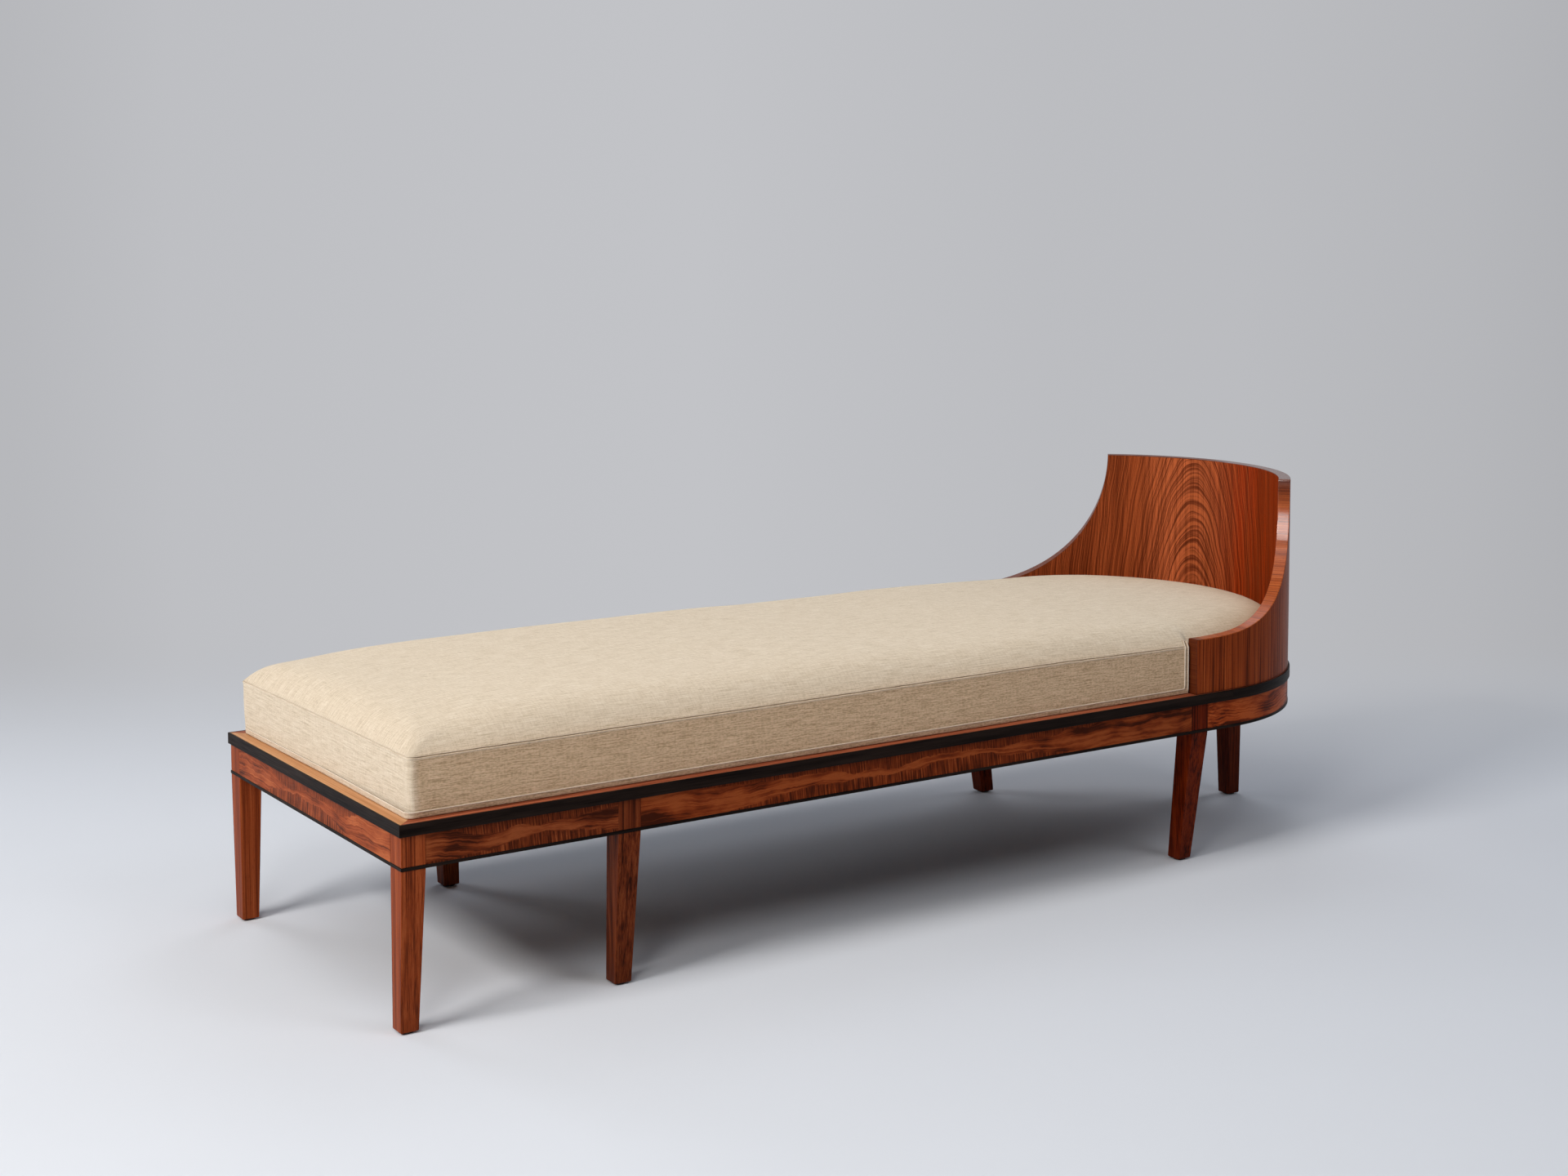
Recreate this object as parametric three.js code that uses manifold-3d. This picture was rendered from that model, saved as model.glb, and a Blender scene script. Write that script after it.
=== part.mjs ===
// Recamier: a day bed on seven tapered legs, with a bent headboard that
// wraps its semicircular head end and an upholstered pad on top.
// Millimetres, +Z up. The origin is on the floor under the middle of the
// frame, +X runs to the head end and -Y is the near side.

import * as THREE from 'three';
import { mergeVertices } from 'three/addons/utils/BufferGeometryUtils.js';
import Module from 'manifold-3d';

const wasm = await Module();
wasm.setup();

// Overall size of the frame, over the ebonised band
const overallLength = 2047;
const overallWidth = 720;

// Heights, stacked from the floor up
const legHeight = 253.5;
const stripHeight = 5.2;
const apronHeight = 47.2;
const bandHeight = 19;

// Clearances: between cut or mitred pieces, and round soft parts
const jointGap = 0.3;
const padGap = 1;
const deckGap = 1;
const cutOverrun = 10;

// Frame rails and the band and strip that trim them
const faceInset = 3.7;
const railThickness = 22;
const bandThickness = 3.2;
const stripDepth = 8;
const stripProud = 0.8;

// Legs: a square post that tapers below the rails to a smaller foot
const postSize = 40;
const footSize = 30;
const footChamfer = 2;
const glideHeight = 3;
const glideDiameter = 23;
const midLegFromFoot = 393;
const headLegBeforeArc = 80;

// How far each foot stands from the point below its post's centre
const footEndShift = { along: -5, inward: 6.3 };
const midShift = { along: 0, inward: 20.6 };
const headShift = { along: 6, inward: 38.4 };
const rearShift = { along: 5, inward: 0 };

// Mortise and tenon joints
const tenonThickness = 9;
const tenonHeight = 28;
const tenonWeb = 4;

// Cross rails, bearer, corner blocks, cleats and glue blocks
const crossRailHeight = 42;
const cornerBlockClear = 6;
const cornerBlockWidth = 18;
const cornerBlockHeight = 38;
const cleatWidth = 30;
const cleatHeight = 22;
const glueBlockLength = 60;

// Top boards and the deck between them
const boardWidth = 80;
const deckThickness = 18;

// Bent headboard
const shellThickness = 23;
const shellTop = 694.6;
const armTop = 427.9;
const armRun = 90.3;
const swoopLength = 347.5;
const tongueThickness = 8;
const tongueHeight = 10;
const tongueStop = 25;

// Upholstered pad
const padSideInset = 21;
const padFootInset = 26;
const padCornerRadius = 9;
const seamHeight = 92.5;
const padCrown = 50;
const padShoulder = 216;
const padDrawIn = 1.6;
const seamPinch = 1;
const headDrop = 25;
const headDropRun = 745;
const hemWidth = 10;
const hemThickness = 1.8;

// Powers of the curves: the swoop is a superellipse, the crown a power curve
const swoopRunPower = 2.79;
const swoopRisePower = 1.9;
const crownPower = 7.5;
const cornerGrowthShare = 0.35;
const seamDropShare = 0.4;
const crownInsetShares = [0.012, 0.034, 0.07, 0.125, 0.2, 0.3, 0.44, 0.64, 1];
const borderShares = { hemEdge: 0.015, middle: 0.5, underSeam: 0.94 };
const glueBlockTurnShares = [0.67, 0.28];

// Facets
const arcStep = THREE.MathUtils.degToRad(3);
const swoopSteps = 22;
const glideSides = 20;
const cornerSteps = 4;
const sideSteps = 12;
const footSteps = 6;
const padArcSteps = 24;
const headBoardCount = 3;

// Rounding slack, for counting facets and for welding vertices
const countSlack = 1e-6;
const weldSlack = 1e-5;

// Places worked out from the sizes above
const halfLength = overallLength / 2;
const halfWidth = overallWidth / 2;
const footX = -halfLength;
const headX = halfLength - halfWidth;
const stripTop = legHeight + stripHeight;
const frameBottom = stripTop + apronHeight;
const frameTop = frameBottom + bandHeight;
const quarterTurn = Math.PI / 2;
const near = -1;
const far = 1;

const tenonLength = (postSize - tenonWeb) / 2;
const postCentreInset = faceInset + postSize / 2;
const railCentreInset = faceInset + railThickness / 2;
const railInnerInset = faceInset + railThickness;
const postInnerInset = faceInset + postSize;
const stripSeat = stripDepth - stripProud + jointGap;
const railMiddle = (legHeight + frameBottom) / 2;
const midLegX = footX + midLegFromFoot;
const headLegX = headX - headLegBeforeArc;
const footLegX = footX + postCentreInset;
const rearLegX = halfLength - postCentreInset;

const rosewood = { color: 0x8a4522, roughness: 0.35, metalness: 0 };
const ebonised = { color: 0x15110f, roughness: 0.4, metalness: 0 };
const beech = { color: 0xc89d68, roughness: 0.7, metalness: 0 };
const plywood = { color: 0xcdb083, roughness: 0.8, metalness: 0 };
const linen = { color: 0xc8b48c, roughness: 0.95, metalness: 0 };
const felt = { color: 0x2a2420, roughness: 1, metalness: 0 };

const recamier = new THREE.Group();

function addPiece(name, geometry, finish) {
  const mesh = new THREE.Mesh(geometry, new THREE.MeshStandardMaterial(finish));
  mesh.name = name;
  recamier.add(mesh);
}

// Triangles of a cap, wound the same way round as its outline
function capTriangles(outline) {
  const turn = Math.sign(THREE.ShapeUtils.area(outline));
  return THREE.ShapeUtils.triangulateShape(outline, []).map(([a, b, c]) => {
    const area = THREE.ShapeUtils.area([outline[a], outline[b], outline[c]]);
    return Math.sign(area) === turn ? [a, b, c] : [a, c, b];
  });
}

function signedVolume(points, triangles) {
  const cross = new THREE.Vector3();
  return triangles.reduce((sum, [a, b, c]) => {
    return sum + cross.crossVectors(points[a], points[b]).dot(points[c]);
  }, 0);
}

function meshFrom(points, triangles) {
  const inwards = signedVolume(points, triangles) < 0;
  const wound = inwards ? triangles.map(([a, b, c]) => [a, c, b]) : triangles;
  const geometry = new THREE.BufferGeometry();
  const coordinates = points.flatMap((point) => point.toArray());
  geometry.setAttribute('position', new THREE.Float32BufferAttribute(coordinates, 3));
  geometry.setIndex(wound.flat());
  geometry.computeVertexNormals();
  return geometry;
}

// Closed body through rings of as many points each, capped at both ends
// by lists of triangles that run the same way round as the rings
function loft(rings, firstCap, lastCap) {
  const points = rings.flat();
  const count = rings[0].length;
  const lastStart = points.length - count;
  const triangles = [];
  for (let level = 0; level < rings.length - 1; level += 1) {
    for (let i = 0; i < count; i += 1) {
      const a = level * count + i;
      const b = level * count + ((i + 1) % count);
      triangles.push([a, b, b + count], [a, b + count, a + count]);
    }
  }
  firstCap.forEach(([a, b, c]) => triangles.push([a, c, b]));
  lastCap.forEach(([a, b, c]) => {
    triangles.push([a + lastStart, b + lastStart, c + lastStart]);
  });
  return meshFrom(points, triangles);
}

// Upright prism over a plan outline of [x, y] pairs
function prism(outline, bottom, top) {
  const cap = capTriangles(outline.map(([x, y]) => new THREE.Vector2(x, y)));
  const ring = (z) => outline.map(([x, y]) => new THREE.Vector3(x, y, z));
  return loft([ring(bottom), ring(top)], cap, cap);
}

function block(x0, x1, y0, y1, z0, z1) {
  return prism([[x0, y0], [x1, y0], [x1, y1], [x0, y1]], z0, z1);
}

// A station of the plan outline: a point on it and the way out of the frame
function sideStation(side, x) {
  return { x, y: side * halfWidth, outX: 0, outY: side };
}

function arcStation(angle) {
  const outX = Math.cos(angle);
  const outY = Math.sin(angle);
  return { x: headX + halfWidth * outX, y: halfWidth * outY, outX, outY };
}

function arcStations(from, to, step = arcStep) {
  const count = Math.ceil((to - from) / step - countSlack);
  return Array.from({ length: count + 1 }, (_, i) => {
    return arcStation(from + ((to - from) * i) / count);
  });
}

function placeOn(station, inset, z) {
  return new THREE.Vector3(
    station.x - station.outX * inset,
    station.y - station.outY * inset,
    z,
  );
}

// Section of [inset from the outline, height] pairs swept along stations
function sweep(stations, sectionAt) {
  const rings = stations.map((station) => {
    return sectionAt(station).map(([inset, z]) => placeOn(station, inset, z));
  });
  const cap = (station) => {
    return capTriangles(sectionAt(station).map(([inset, z]) => new THREE.Vector2(inset, z)));
  };
  return loft(rings, cap(stations[0]), cap(stations.at(-1)));
}

function bar(outer, inner, bottom, top) {
  return [[outer, bottom], [outer, top], [inner, top], [inner, bottom]];
}

function mirrored(geometry) {
  const copy = geometry.clone();
  const place = copy.getAttribute('position');
  for (let i = 0; i < place.count; i += 1) {
    place.setY(i, -place.getY(i));
  }
  const index = copy.getIndex().array;
  for (let i = 0; i < index.length; i += 3) {
    [index[i + 1], index[i + 2]] = [index[i + 2], index[i + 1]];
  }
  copy.computeVertexNormals();
  return copy;
}

function solidFrom(geometry) {
  const bare = geometry.clone();
  bare.deleteAttribute('normal');
  const merged = mergeVertices(bare, weldSlack);
  return new wasm.Manifold(new wasm.Mesh({
    numProp: 3,
    vertProperties: Float32Array.from(merged.getAttribute('position').array),
    triVerts: Uint32Array.from(merged.getIndex().array),
  }));
}

function geometryFrom(solid) {
  const mesh = solid.getMesh();
  const geometry = new THREE.BufferGeometry();
  geometry.setAttribute('position', new THREE.BufferAttribute(mesh.vertProperties, 3));
  geometry.setIndex(new THREE.BufferAttribute(mesh.triVerts, 1));
  geometry.computeVertexNormals();
  return geometry;
}

function cut(geometry, cutters) {
  const solid = cutters.reduce((rest, cutter) => rest.subtract(solidFrom(cutter)), solidFrom(geometry));
  return geometryFrom(solid);
}

function join(geometry, others) {
  const solid = others.reduce((sum, other) => sum.add(solidFrom(other)), solidFrom(geometry));
  return geometryFrom(solid);
}

// Rail section, with the rebate that the strip lies in
const railSection = [
  [faceInset, frameBottom],
  [railInnerInset, frameBottom],
  [railInnerInset, legHeight],
  [faceInset + stripSeat, legHeight],
  [faceInset + stripSeat, stripTop],
  [faceInset, stripTop],
];

// Tenons and their mortises, named by the face of the post that they enter.
// The shoulder is where the rail stops, and the tenon runs on from there.
function tenonBox(axis, ends, across, slack) {
  const half = tenonThickness / 2 + slack;
  const low = Math.min(...ends) - slack;
  const high = Math.max(...ends) + slack;
  const bottom = railMiddle - tenonHeight / 2 - slack;
  const top = railMiddle + tenonHeight / 2 + slack;
  return axis === 'x'
    ? block(low, high, across - half, across + half, bottom, top)
    : block(across - half, across + half, low, high, bottom, top);
}

// A tenon is rooted in its rail by this much, so that the two join
const tenonRoot = tenonThickness / 2;

function tenon(axis, postFace, direction, across) {
  const ends = [postFace - direction * tenonRoot, postFace + direction * tenonLength];
  return tenonBox(axis, ends, across, 0);
}

function mortise(axis, postFace, direction, across) {
  const ends = [postFace - direction * cutOverrun, postFace + direction * tenonLength];
  return tenonBox(axis, ends, across, jointGap);
}

// Near side legs are built, and the far ones are their mirror images
function legBlank(x, y, shift) {
  const square = (size, alongX, inwardY, z) => {
    const half = size / 2;
    const cx = x + alongX;
    const cy = y + inwardY;
    return [[-half, -half], [half, -half], [half, half], [-half, half]].map(([dx, dy]) => {
      return new THREE.Vector3(cx + dx, cy + dy, z);
    });
  };
  const rings = [
    square(footSize - footChamfer, shift.along, shift.inward, glideHeight),
    square(footSize, shift.along, shift.inward, glideHeight + footChamfer),
    square(postSize, 0, 0, legHeight),
    square(postSize, 0, 0, frameBottom),
  ];
  const cap = capTriangles(rings[0].map((point) => new THREE.Vector2(point.x, point.y)));
  return loft(rings, cap, cap);
}

function sideNotch(x) {
  const reach = postSize / 2 + cutOverrun;
  return block(x - reach, x + reach, -halfWidth, -halfWidth + faceInset + stripSeat, legHeight, stripTop);
}

function glide(x, y) {
  const radius = glideDiameter / 2;
  const profile = [[0, 0], [radius, 0], [radius, glideHeight], [0, glideHeight]];
  const turned = new THREE.LatheGeometry(profile.map(([r, h]) => new THREE.Vector2(r, h)), glideSides);
  turned.rotateX(quarterTurn);
  turned.translate(x, y, 0);
  turned.deleteAttribute('normal');
  turned.deleteAttribute('uv');
  return geometryFrom(solidFrom(turned));
}

const postY = -halfWidth + postCentreInset;
const railY = -halfWidth + railCentreInset;
const innerPostY = -halfWidth + postInnerInset;
const railX = footX + railCentreInset;
const innerPostX = footX + postInnerInset;

function addLegPair(place, x, shift, cutters) {
  const leg = cut(legBlank(x, postY, shift), cutters);
  const foot = glide(x + shift.along, postY + shift.inward);
  addPiece(`leg_${place}_near`, leg, rosewood);
  addPiece(`leg_${place}_far`, mirrored(leg), rosewood);
  addPiece(`glide_${place}_near`, foot, felt);
  addPiece(`glide_${place}_far`, mirrored(foot), felt);
}

const footNotch = block(
  footX,
  footX + faceInset + stripSeat,
  -halfWidth - cutOverrun,
  innerPostY + cutOverrun,
  legHeight,
  stripTop,
);
addLegPair('foot', footLegX, footEndShift, [
  sideNotch(footLegX),
  footNotch,
  mortise('x', innerPostX, near, railY),
  mortise('y', innerPostY, near, railX),
]);

function middleLegCutters(x) {
  return [
    sideNotch(x),
    mortise('x', x - postSize / 2, far, railY),
    mortise('x', x + postSize / 2, near, railY),
    mortise('y', innerPostY, near, x),
  ];
}
addLegPair('mid', midLegX, midShift, middleLegCutters(midLegX));
addLegPair('head', headLegX, headShift, middleLegCutters(headLegX));

// Single leg at the crown of the head curve. The strip bends away from a
// flat notch by its rise over half the post, so the notch is deeper by that.
const stripInnerRadius = halfWidth - faceInset - stripSeat;
const stripRise = stripInnerRadius - Math.sqrt(stripInnerRadius ** 2 - (postSize / 2) ** 2);
const rearNotchX = headX + stripInnerRadius - stripRise;
const rearRailX = headX + halfWidth - railCentreInset;
const rearInnerX = halfLength - postInnerInset;
const rearLeg = cut(legBlank(rearLegX, 0, rearShift), [
  block(rearNotchX, halfLength, -postSize, postSize, legHeight, stripTop),
  mortise('y', -postSize / 2, far, rearRailX),
  mortise('y', postSize / 2, near, rearRailX),
  mortise('x', rearInnerX, far, 0),
]);
addPiece('leg_rear', rearLeg, rosewood);
addPiece('glide_rear', glide(rearLegX + rearShift.along, 0), felt);

// Straight side rails, between one post and the next
function sideRail(fromPost, toPost) {
  const start = fromPost + jointGap;
  const end = toPost - jointGap;
  const rail = sweep([sideStation(near, start), sideStation(near, end)], () => railSection);
  return join(rail, [
    tenon('x', start, near, railY),
    tenon('x', end, far, railY),
  ]);
}

const footRailHalf = halfWidth - postInnerInset - jointGap;

function addPair(name, geometry, finish) {
  addPiece(`${name}_near`, geometry, finish);
  addPiece(`${name}_far`, mirrored(geometry), finish);
}

addPair('rail_foot_bay', sideRail(innerPostX, midLegX - postSize / 2), rosewood);
addPair('rail_mid_bay', sideRail(midLegX + postSize / 2, headLegX - postSize / 2), rosewood);

// Foot rail, swept across the foot end
const footStations = [-footRailHalf, footRailHalf].map((y) => ({ x: footX, y, outX: -1, outY: 0 }));
addPiece('rail_foot', join(sweep(footStations, () => railSection), [
  tenon('y', -footRailHalf, near, railX),
  tenon('y', footRailHalf, far, railX),
]), rosewood);

// Bow rails, each bent from a head leg round to the rear leg
const rearShoulderY = -postSize / 2 - jointGap;
const bowStart = headLegX + postSize / 2 + jointGap;
const bowStations = [sideStation(near, bowStart), ...arcStations(-quarterTurn, 0)];
const rearClearance = block(
  headX,
  halfLength + cutOverrun,
  rearShoulderY,
  postSize,
  legHeight - cutOverrun,
  frameBottom + cutOverrun,
);
const bowRail = join(cut(sweep(bowStations, () => railSection), [rearClearance]), [
  tenon('x', bowStart, near, railY),
  tenon('y', rearShoulderY, far, rearRailX),
]);
addPair('rail_bow', bowRail, rosewood);

// Cross rails between the side posts, and the bearer that carries the
// deck along the middle of the head end
const crossRailHalf = halfWidth - postInnerInset - jointGap;

function crossRail(x) {
  const half = railThickness / 2;
  const underside = frameBottom - crossRailHeight;
  const rail = block(x - half, x + half, -crossRailHalf, crossRailHalf, underside, frameBottom);
  return join(rail, [
    tenon('y', -crossRailHalf, near, x),
    tenon('y', crossRailHalf, far, x),
  ]);
}

addPiece('cross_rail_mid', crossRail(midLegX), beech);
addPiece('cross_rail_head', crossRail(headLegX), beech);

const bearerStart = headLegX + railThickness / 2 + jointGap;
const bearerEnd = rearInnerX - jointGap;
const bearer = block(
  bearerStart,
  bearerEnd,
  -railThickness / 2,
  railThickness / 2,
  frameBottom - crossRailHeight,
  frameBottom,
);
addPiece('bearer_head', join(bearer, [tenon('x', bearerEnd, far, 0)]), beech);

// Corner blocks across the two foot corners, clear of the posts. Their
// long faces lie where the two insets add up to a fixed sum.
const blockFace = railInnerInset + jointGap;
const innerSum = 2 * postInnerInset + Math.SQRT2 * cornerBlockClear;
const outerSum = innerSum + Math.SQRT2 * cornerBlockWidth;
const cornerOutline = [
  [blockFace, innerSum - blockFace],
  [blockFace, outerSum - blockFace],
  [outerSum - blockFace, blockFace],
  [innerSum - blockFace, blockFace],
].map(([alongInset, sideInset]) => [footX + alongInset, -halfWidth + sideInset]);
addPair('corner_block', prism(cornerOutline, frameBottom - cornerBlockHeight, frameBottom), beech);

// Cleats under the inner edge of the top boards, which the deck rests on
const cleatOuter = boardWidth - cleatWidth / 2;
const cleatInner = boardWidth + cleatWidth / 2;

function sideCleat(from, to) {
  return block(
    from,
    to,
    -halfWidth + cleatOuter,
    -halfWidth + cleatInner,
    frameBottom - cleatHeight,
    frameBottom,
  );
}

const railHalf = railThickness / 2 + jointGap;
addPair('cleat_foot_bay', sideCleat(footX + cleatOuter, midLegX - railHalf), beech);
addPair('cleat_mid_bay', sideCleat(midLegX + railHalf, headLegX - railHalf), beech);
const footCleatHalf = halfWidth - cleatInner - jointGap;
addPiece('cleat_foot', block(
  footX + cleatOuter,
  footX + cleatInner,
  -footCleatHalf,
  footCleatHalf,
  frameBottom - cleatHeight,
  frameBottom,
), beech);

// Glue blocks that carry the round end of the deck
glueBlockTurnShares.forEach((share, i) => {
  const { outX, outY } = arcStation(-share * quarterTurn);
  const half = glueBlockLength / 2;
  const corners = [[cleatInner, -half], [cleatInner, half], [cleatOuter, half], [cleatOuter, -half]];
  const outline = corners.map(([inset, along]) => {
    const radius = halfWidth - inset;
    return [headX + outX * radius - outY * along, outY * radius + outX * along];
  });
  addPair(`glue_block_${i + 1}`, prism(outline, frameBottom - cleatHeight, frameBottom), beech);
});

// Ebonised band round the edge of the top boards, and the strip below the
// rails. Both are mitred at the foot corners and bent round the head.
function mitredSide(outer, inner, bottom, top) {
  return prism([
    [footX + outer, -halfWidth + outer],
    [headX, -halfWidth + outer],
    [headX, -halfWidth + inner],
    [footX + inner, -halfWidth + inner],
  ], bottom, top);
}

function mitredFoot(outer, inner, bottom, top) {
  return prism([
    [footX + outer, -halfWidth + outer],
    [footX + inner, -halfWidth + inner],
    [footX + inner, halfWidth - inner],
    [footX + outer, halfWidth - outer],
  ], bottom, top);
}

function headArc(outer, inner, bottom, top, from = -quarterTurn, to = quarterTurn) {
  return sweep(arcStations(from, to), () => bar(outer, inner, bottom, top));
}

const bandSizes = [0, bandThickness, frameBottom, frameTop];
addPair('band', mitredSide(...bandSizes), ebonised);
addPiece('band_foot', mitredFoot(...bandSizes), ebonised);
addPiece('band_head', headArc(...bandSizes), ebonised);

const stripOuter = faceInset - stripProud;
const stripSizes = [stripOuter, stripOuter + stripDepth, legHeight, stripTop];
addPair('strip', mitredSide(...stripSizes), ebonised);
addPiece('strip_foot', mitredFoot(...stripSizes), ebonised);
addPiece('strip_head', headArc(...stripSizes), ebonised);

// Headboard: a bent shell that stands on the top boards. Its top edge is
// level round the head and sweeps down each side to a low arm.
const shellInner = faceInset + shellThickness;
const shellRadius = halfWidth - faceInset;
const armX = headX - armRun;
const swoopAngle = (swoopLength - armRun) / shellRadius;
const shellRise = shellTop - armTop;

function shellHeight(run) {
  const share = Math.min(run / swoopLength, 1);
  return shellTop - shellRise * (1 - share ** swoopRunPower) ** (1 / swoopRisePower);
}

// Runs along the outer face from the arm's front edge, close together
// where the swoop is steep and one facet step apart on the curve
function swoopRuns() {
  const runs = [];
  for (let i = 0; i <= swoopSteps; i += 1) {
    const turn = (quarterTurn * i) / swoopSteps;
    runs.push(swoopLength * Math.sin(turn) ** (2 / swoopRunPower));
  }
  return runs;
}

function shellStation(run) {
  const bend = run - armRun;
  const station = bend <= 0 ? sideStation(near, armX + run) : arcStation(bend / shellRadius - quarterTurn);
  return { ...station, top: shellHeight(run) };
}

function mirroredStation(station) {
  return { ...station, y: -station.y, outY: -station.outY };
}

const nearShell = swoopRuns().map(shellStation);
const levelStations = arcStations(swoopAngle - quarterTurn, quarterTurn - swoopAngle).slice(1, -1);
const shellStations = [
  ...nearShell,
  ...levelStations.map((station) => ({ ...station, top: shellTop })),
  ...nearShell.toReversed().map(mirroredStation),
];
const shellBody = sweep(shellStations, ({ top }) => bar(faceInset, shellInner, frameTop, top));

// The tongue under the shell lies in a groove in the top boards, and both
// stop short of the arm's front edge
const tongueOuter = faceInset + (shellThickness - tongueThickness) / 2;
const tongueInner = tongueOuter + tongueThickness;

function tongueSweep(stop, slack, top) {
  const path = [
    sideStation(near, armX + stop),
    ...arcStations(-quarterTurn, quarterTurn),
    sideStation(far, armX + stop),
  ];
  const bottom = frameTop - tongueHeight - slack;
  return sweep(path, () => bar(tongueOuter - slack, tongueInner + slack, bottom, top));
}

addPiece('headboard', join(shellBody, [tongueSweep(tongueStop, 0, frameTop + tongueHeight)]), rosewood);
const groove = tongueSweep(tongueStop - jointGap, jointGap, frameTop + cutOverrun);

// Top boards: the ledge round the pad, grooved for the headboard
const boardSizes = [bandThickness, boardWidth, frameBottom, frameTop];
addPair('top_board', cut(mitredSide(...boardSizes), [groove]), rosewood);
addPiece('top_board_foot', mitredFoot(...boardSizes), rosewood);
const headBoardTurn = (2 * quarterTurn) / headBoardCount;
for (let i = 0; i < headBoardCount; i += 1) {
  const from = -quarterTurn + headBoardTurn * i;
  const blank = headArc(...boardSizes, from, from + headBoardTurn);
  addPiece(`top_board_head_${i + 1}`, cut(blank, [groove]), rosewood);
}

// Deck: two panels inside the top boards, with their joint on a cross rail
const deckInset = boardWidth + deckGap;
const deckHalf = halfWidth - deckInset;
const deckTop = frameBottom + deckThickness;
const deckJoint = headLegX;
addPiece('deck_main', block(
  footX + deckInset,
  deckJoint - jointGap / 2,
  -deckHalf,
  deckHalf,
  frameBottom,
  deckTop,
), plywood);
const deckArc = arcStations(-quarterTurn, quarterTurn).map((station) => {
  const { x, y } = placeOn(station, deckInset, 0);
  return [x, y];
});
const headDeckStart = deckJoint + jointGap / 2;
addPiece('deck_head', prism([
  [headDeckStart, -deckHalf],
  ...deckArc,
  [headDeckStart, deckHalf],
], frameBottom, deckTop), plywood);

// Upholstered pad: boxed border up to the seam, then a crowned top whose
// sides pull in between the corners
const padBottom = frameTop + jointGap;
const seamZ = frameTop + seamHeight;
const padNotchX = armX - padGap;
const padHeadInset = shellInner + padGap;
const padStep = padHeadInset - padSideInset;
const padFootX = footX + padFootInset;
const padHalf = halfWidth - padSideInset;

// One closed plan ring of the pad, inset all round, bowed in by a draw
function padOutline(inset, draw) {
  const radius = padCornerRadius + cornerGrowthShare * inset;
  const sideY = padHalf - inset;
  const startX = padFootX + inset;
  const step = padStep * Math.max(1 - inset / padShoulder, 0) ** 2;
  const nearHalf = [];
  for (let i = 0; i <= footSteps / 2; i += 1) {
    const y = ((sideY - radius) * 2 * i) / footSteps;
    const bow = draw * (1 - (y / (sideY - radius)) ** 2);
    nearHalf.push([startX + bow, y]);
  }
  for (let i = 1; i <= cornerSteps; i += 1) {
    const turn = (quarterTurn * i) / cornerSteps;
    nearHalf.push([startX + radius * (1 - Math.cos(turn)), sideY - radius + radius * Math.sin(turn)]);
  }
  for (let i = 1; i <= sideSteps; i += 1) {
    const share = i / sideSteps;
    const x = startX + radius + (padNotchX - startX - radius) * share;
    nearHalf.push([x, sideY - draw * (1 - (2 * share - 1) ** 2)]);
  }
  const headRadius = halfWidth - padSideInset - step - inset;
  nearHalf.push([padNotchX, headRadius]);
  for (let i = 0; i <= padArcSteps / 2; i += 1) {
    const turn = quarterTurn * (1 - (2 * i) / padArcSteps);
    nearHalf.push([headX + headRadius * Math.cos(turn), headRadius * Math.sin(turn)]);
  }
  const farHalf = nearHalf.slice(1, -1).toReversed().map(([x, y]) => [x, -y]);
  return [...nearHalf, ...farHalf];
}

function crownShare(inset) {
  return 1 - (1 - Math.min(inset / padShoulder, 1)) ** crownPower;
}

// Height of the pad's top: the crown over the seam, sinking to the head
function padTop(x, inset) {
  const sink = headDrop * THREE.MathUtils.clamp((x - halfLength) / headDropRun + 1, 0, 1);
  const rise = crownShare(inset);
  return seamZ + padCrown * rise - sink * (seamDropShare + (1 - seamDropShare) * rise);
}

function borderRing(share, inset, draw) {
  return padOutline(inset, draw).map(([x, y]) => {
    return new THREE.Vector3(x, y, padBottom + (padTop(x, 0) - padBottom) * share);
  });
}

const padRings = [
  borderRing(0, seamPinch, 0),
  borderRing(borderShares.hemEdge, 0, 0),
  borderRing(hemWidth / seamHeight, 0, 0),
  borderRing(borderShares.middle, 0, padDrawIn),
  borderRing(borderShares.underSeam, 0, padDrawIn),
  borderRing(1, seamPinch, padDrawIn),
  ...crownInsetShares.map((share) => {
    const inset = share * padShoulder;
    return padOutline(inset, padDrawIn).map(([x, y]) => new THREE.Vector3(x, y, padTop(x, inset)));
  }),
];

// Both caps run across the pad, from each point to its mirror image
function ladderCap(count) {
  const middle = count / 2;
  const triangles = [[0, 1, count - 1], [middle - 1, middle, middle + 1]];
  for (let i = 1; i < middle - 1; i += 1) {
    triangles.push([i, i + 1, count - i - 1], [i, count - i - 1, count - i]);
  }
  return triangles;
}

const padCap = ladderCap(padRings[0].length);
addPiece('pad', loft(padRings, padCap, padCap), linen);

// Hem: a flat tape along the foot of the border, which turns up in front
// of each arm
const hemInner = padSideInset - jointGap;
const hemOuter = hemInner - hemThickness;
const hemBottom = padBottom;
const hemTop = hemBottom + hemWidth;
const hemEndX = padNotchX;
const hemRise = padTop(hemEndX, 0);

function hemPath() {
  const radius = padCornerRadius;
  const centreX = padFootX + radius;
  const centreY = padHalf - radius;
  const corner = (side) => Array.from({ length: cornerSteps + 1 }, (_, i) => {
    const turn = (quarterTurn * i) / cornerSteps;
    const angle = side === near ? -quarterTurn - turn : 2 * quarterTurn - turn;
    return {
      x: centreX + radius * Math.cos(angle),
      y: side * centreY + radius * Math.sin(angle),
      outX: Math.cos(angle),
      outY: Math.sin(angle),
    };
  });
  const end = (side) => ({ x: hemEndX, y: side * padHalf, outX: 0, outY: side });
  return [end(near), ...corner(near), ...corner(far), end(far)];
}

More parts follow.
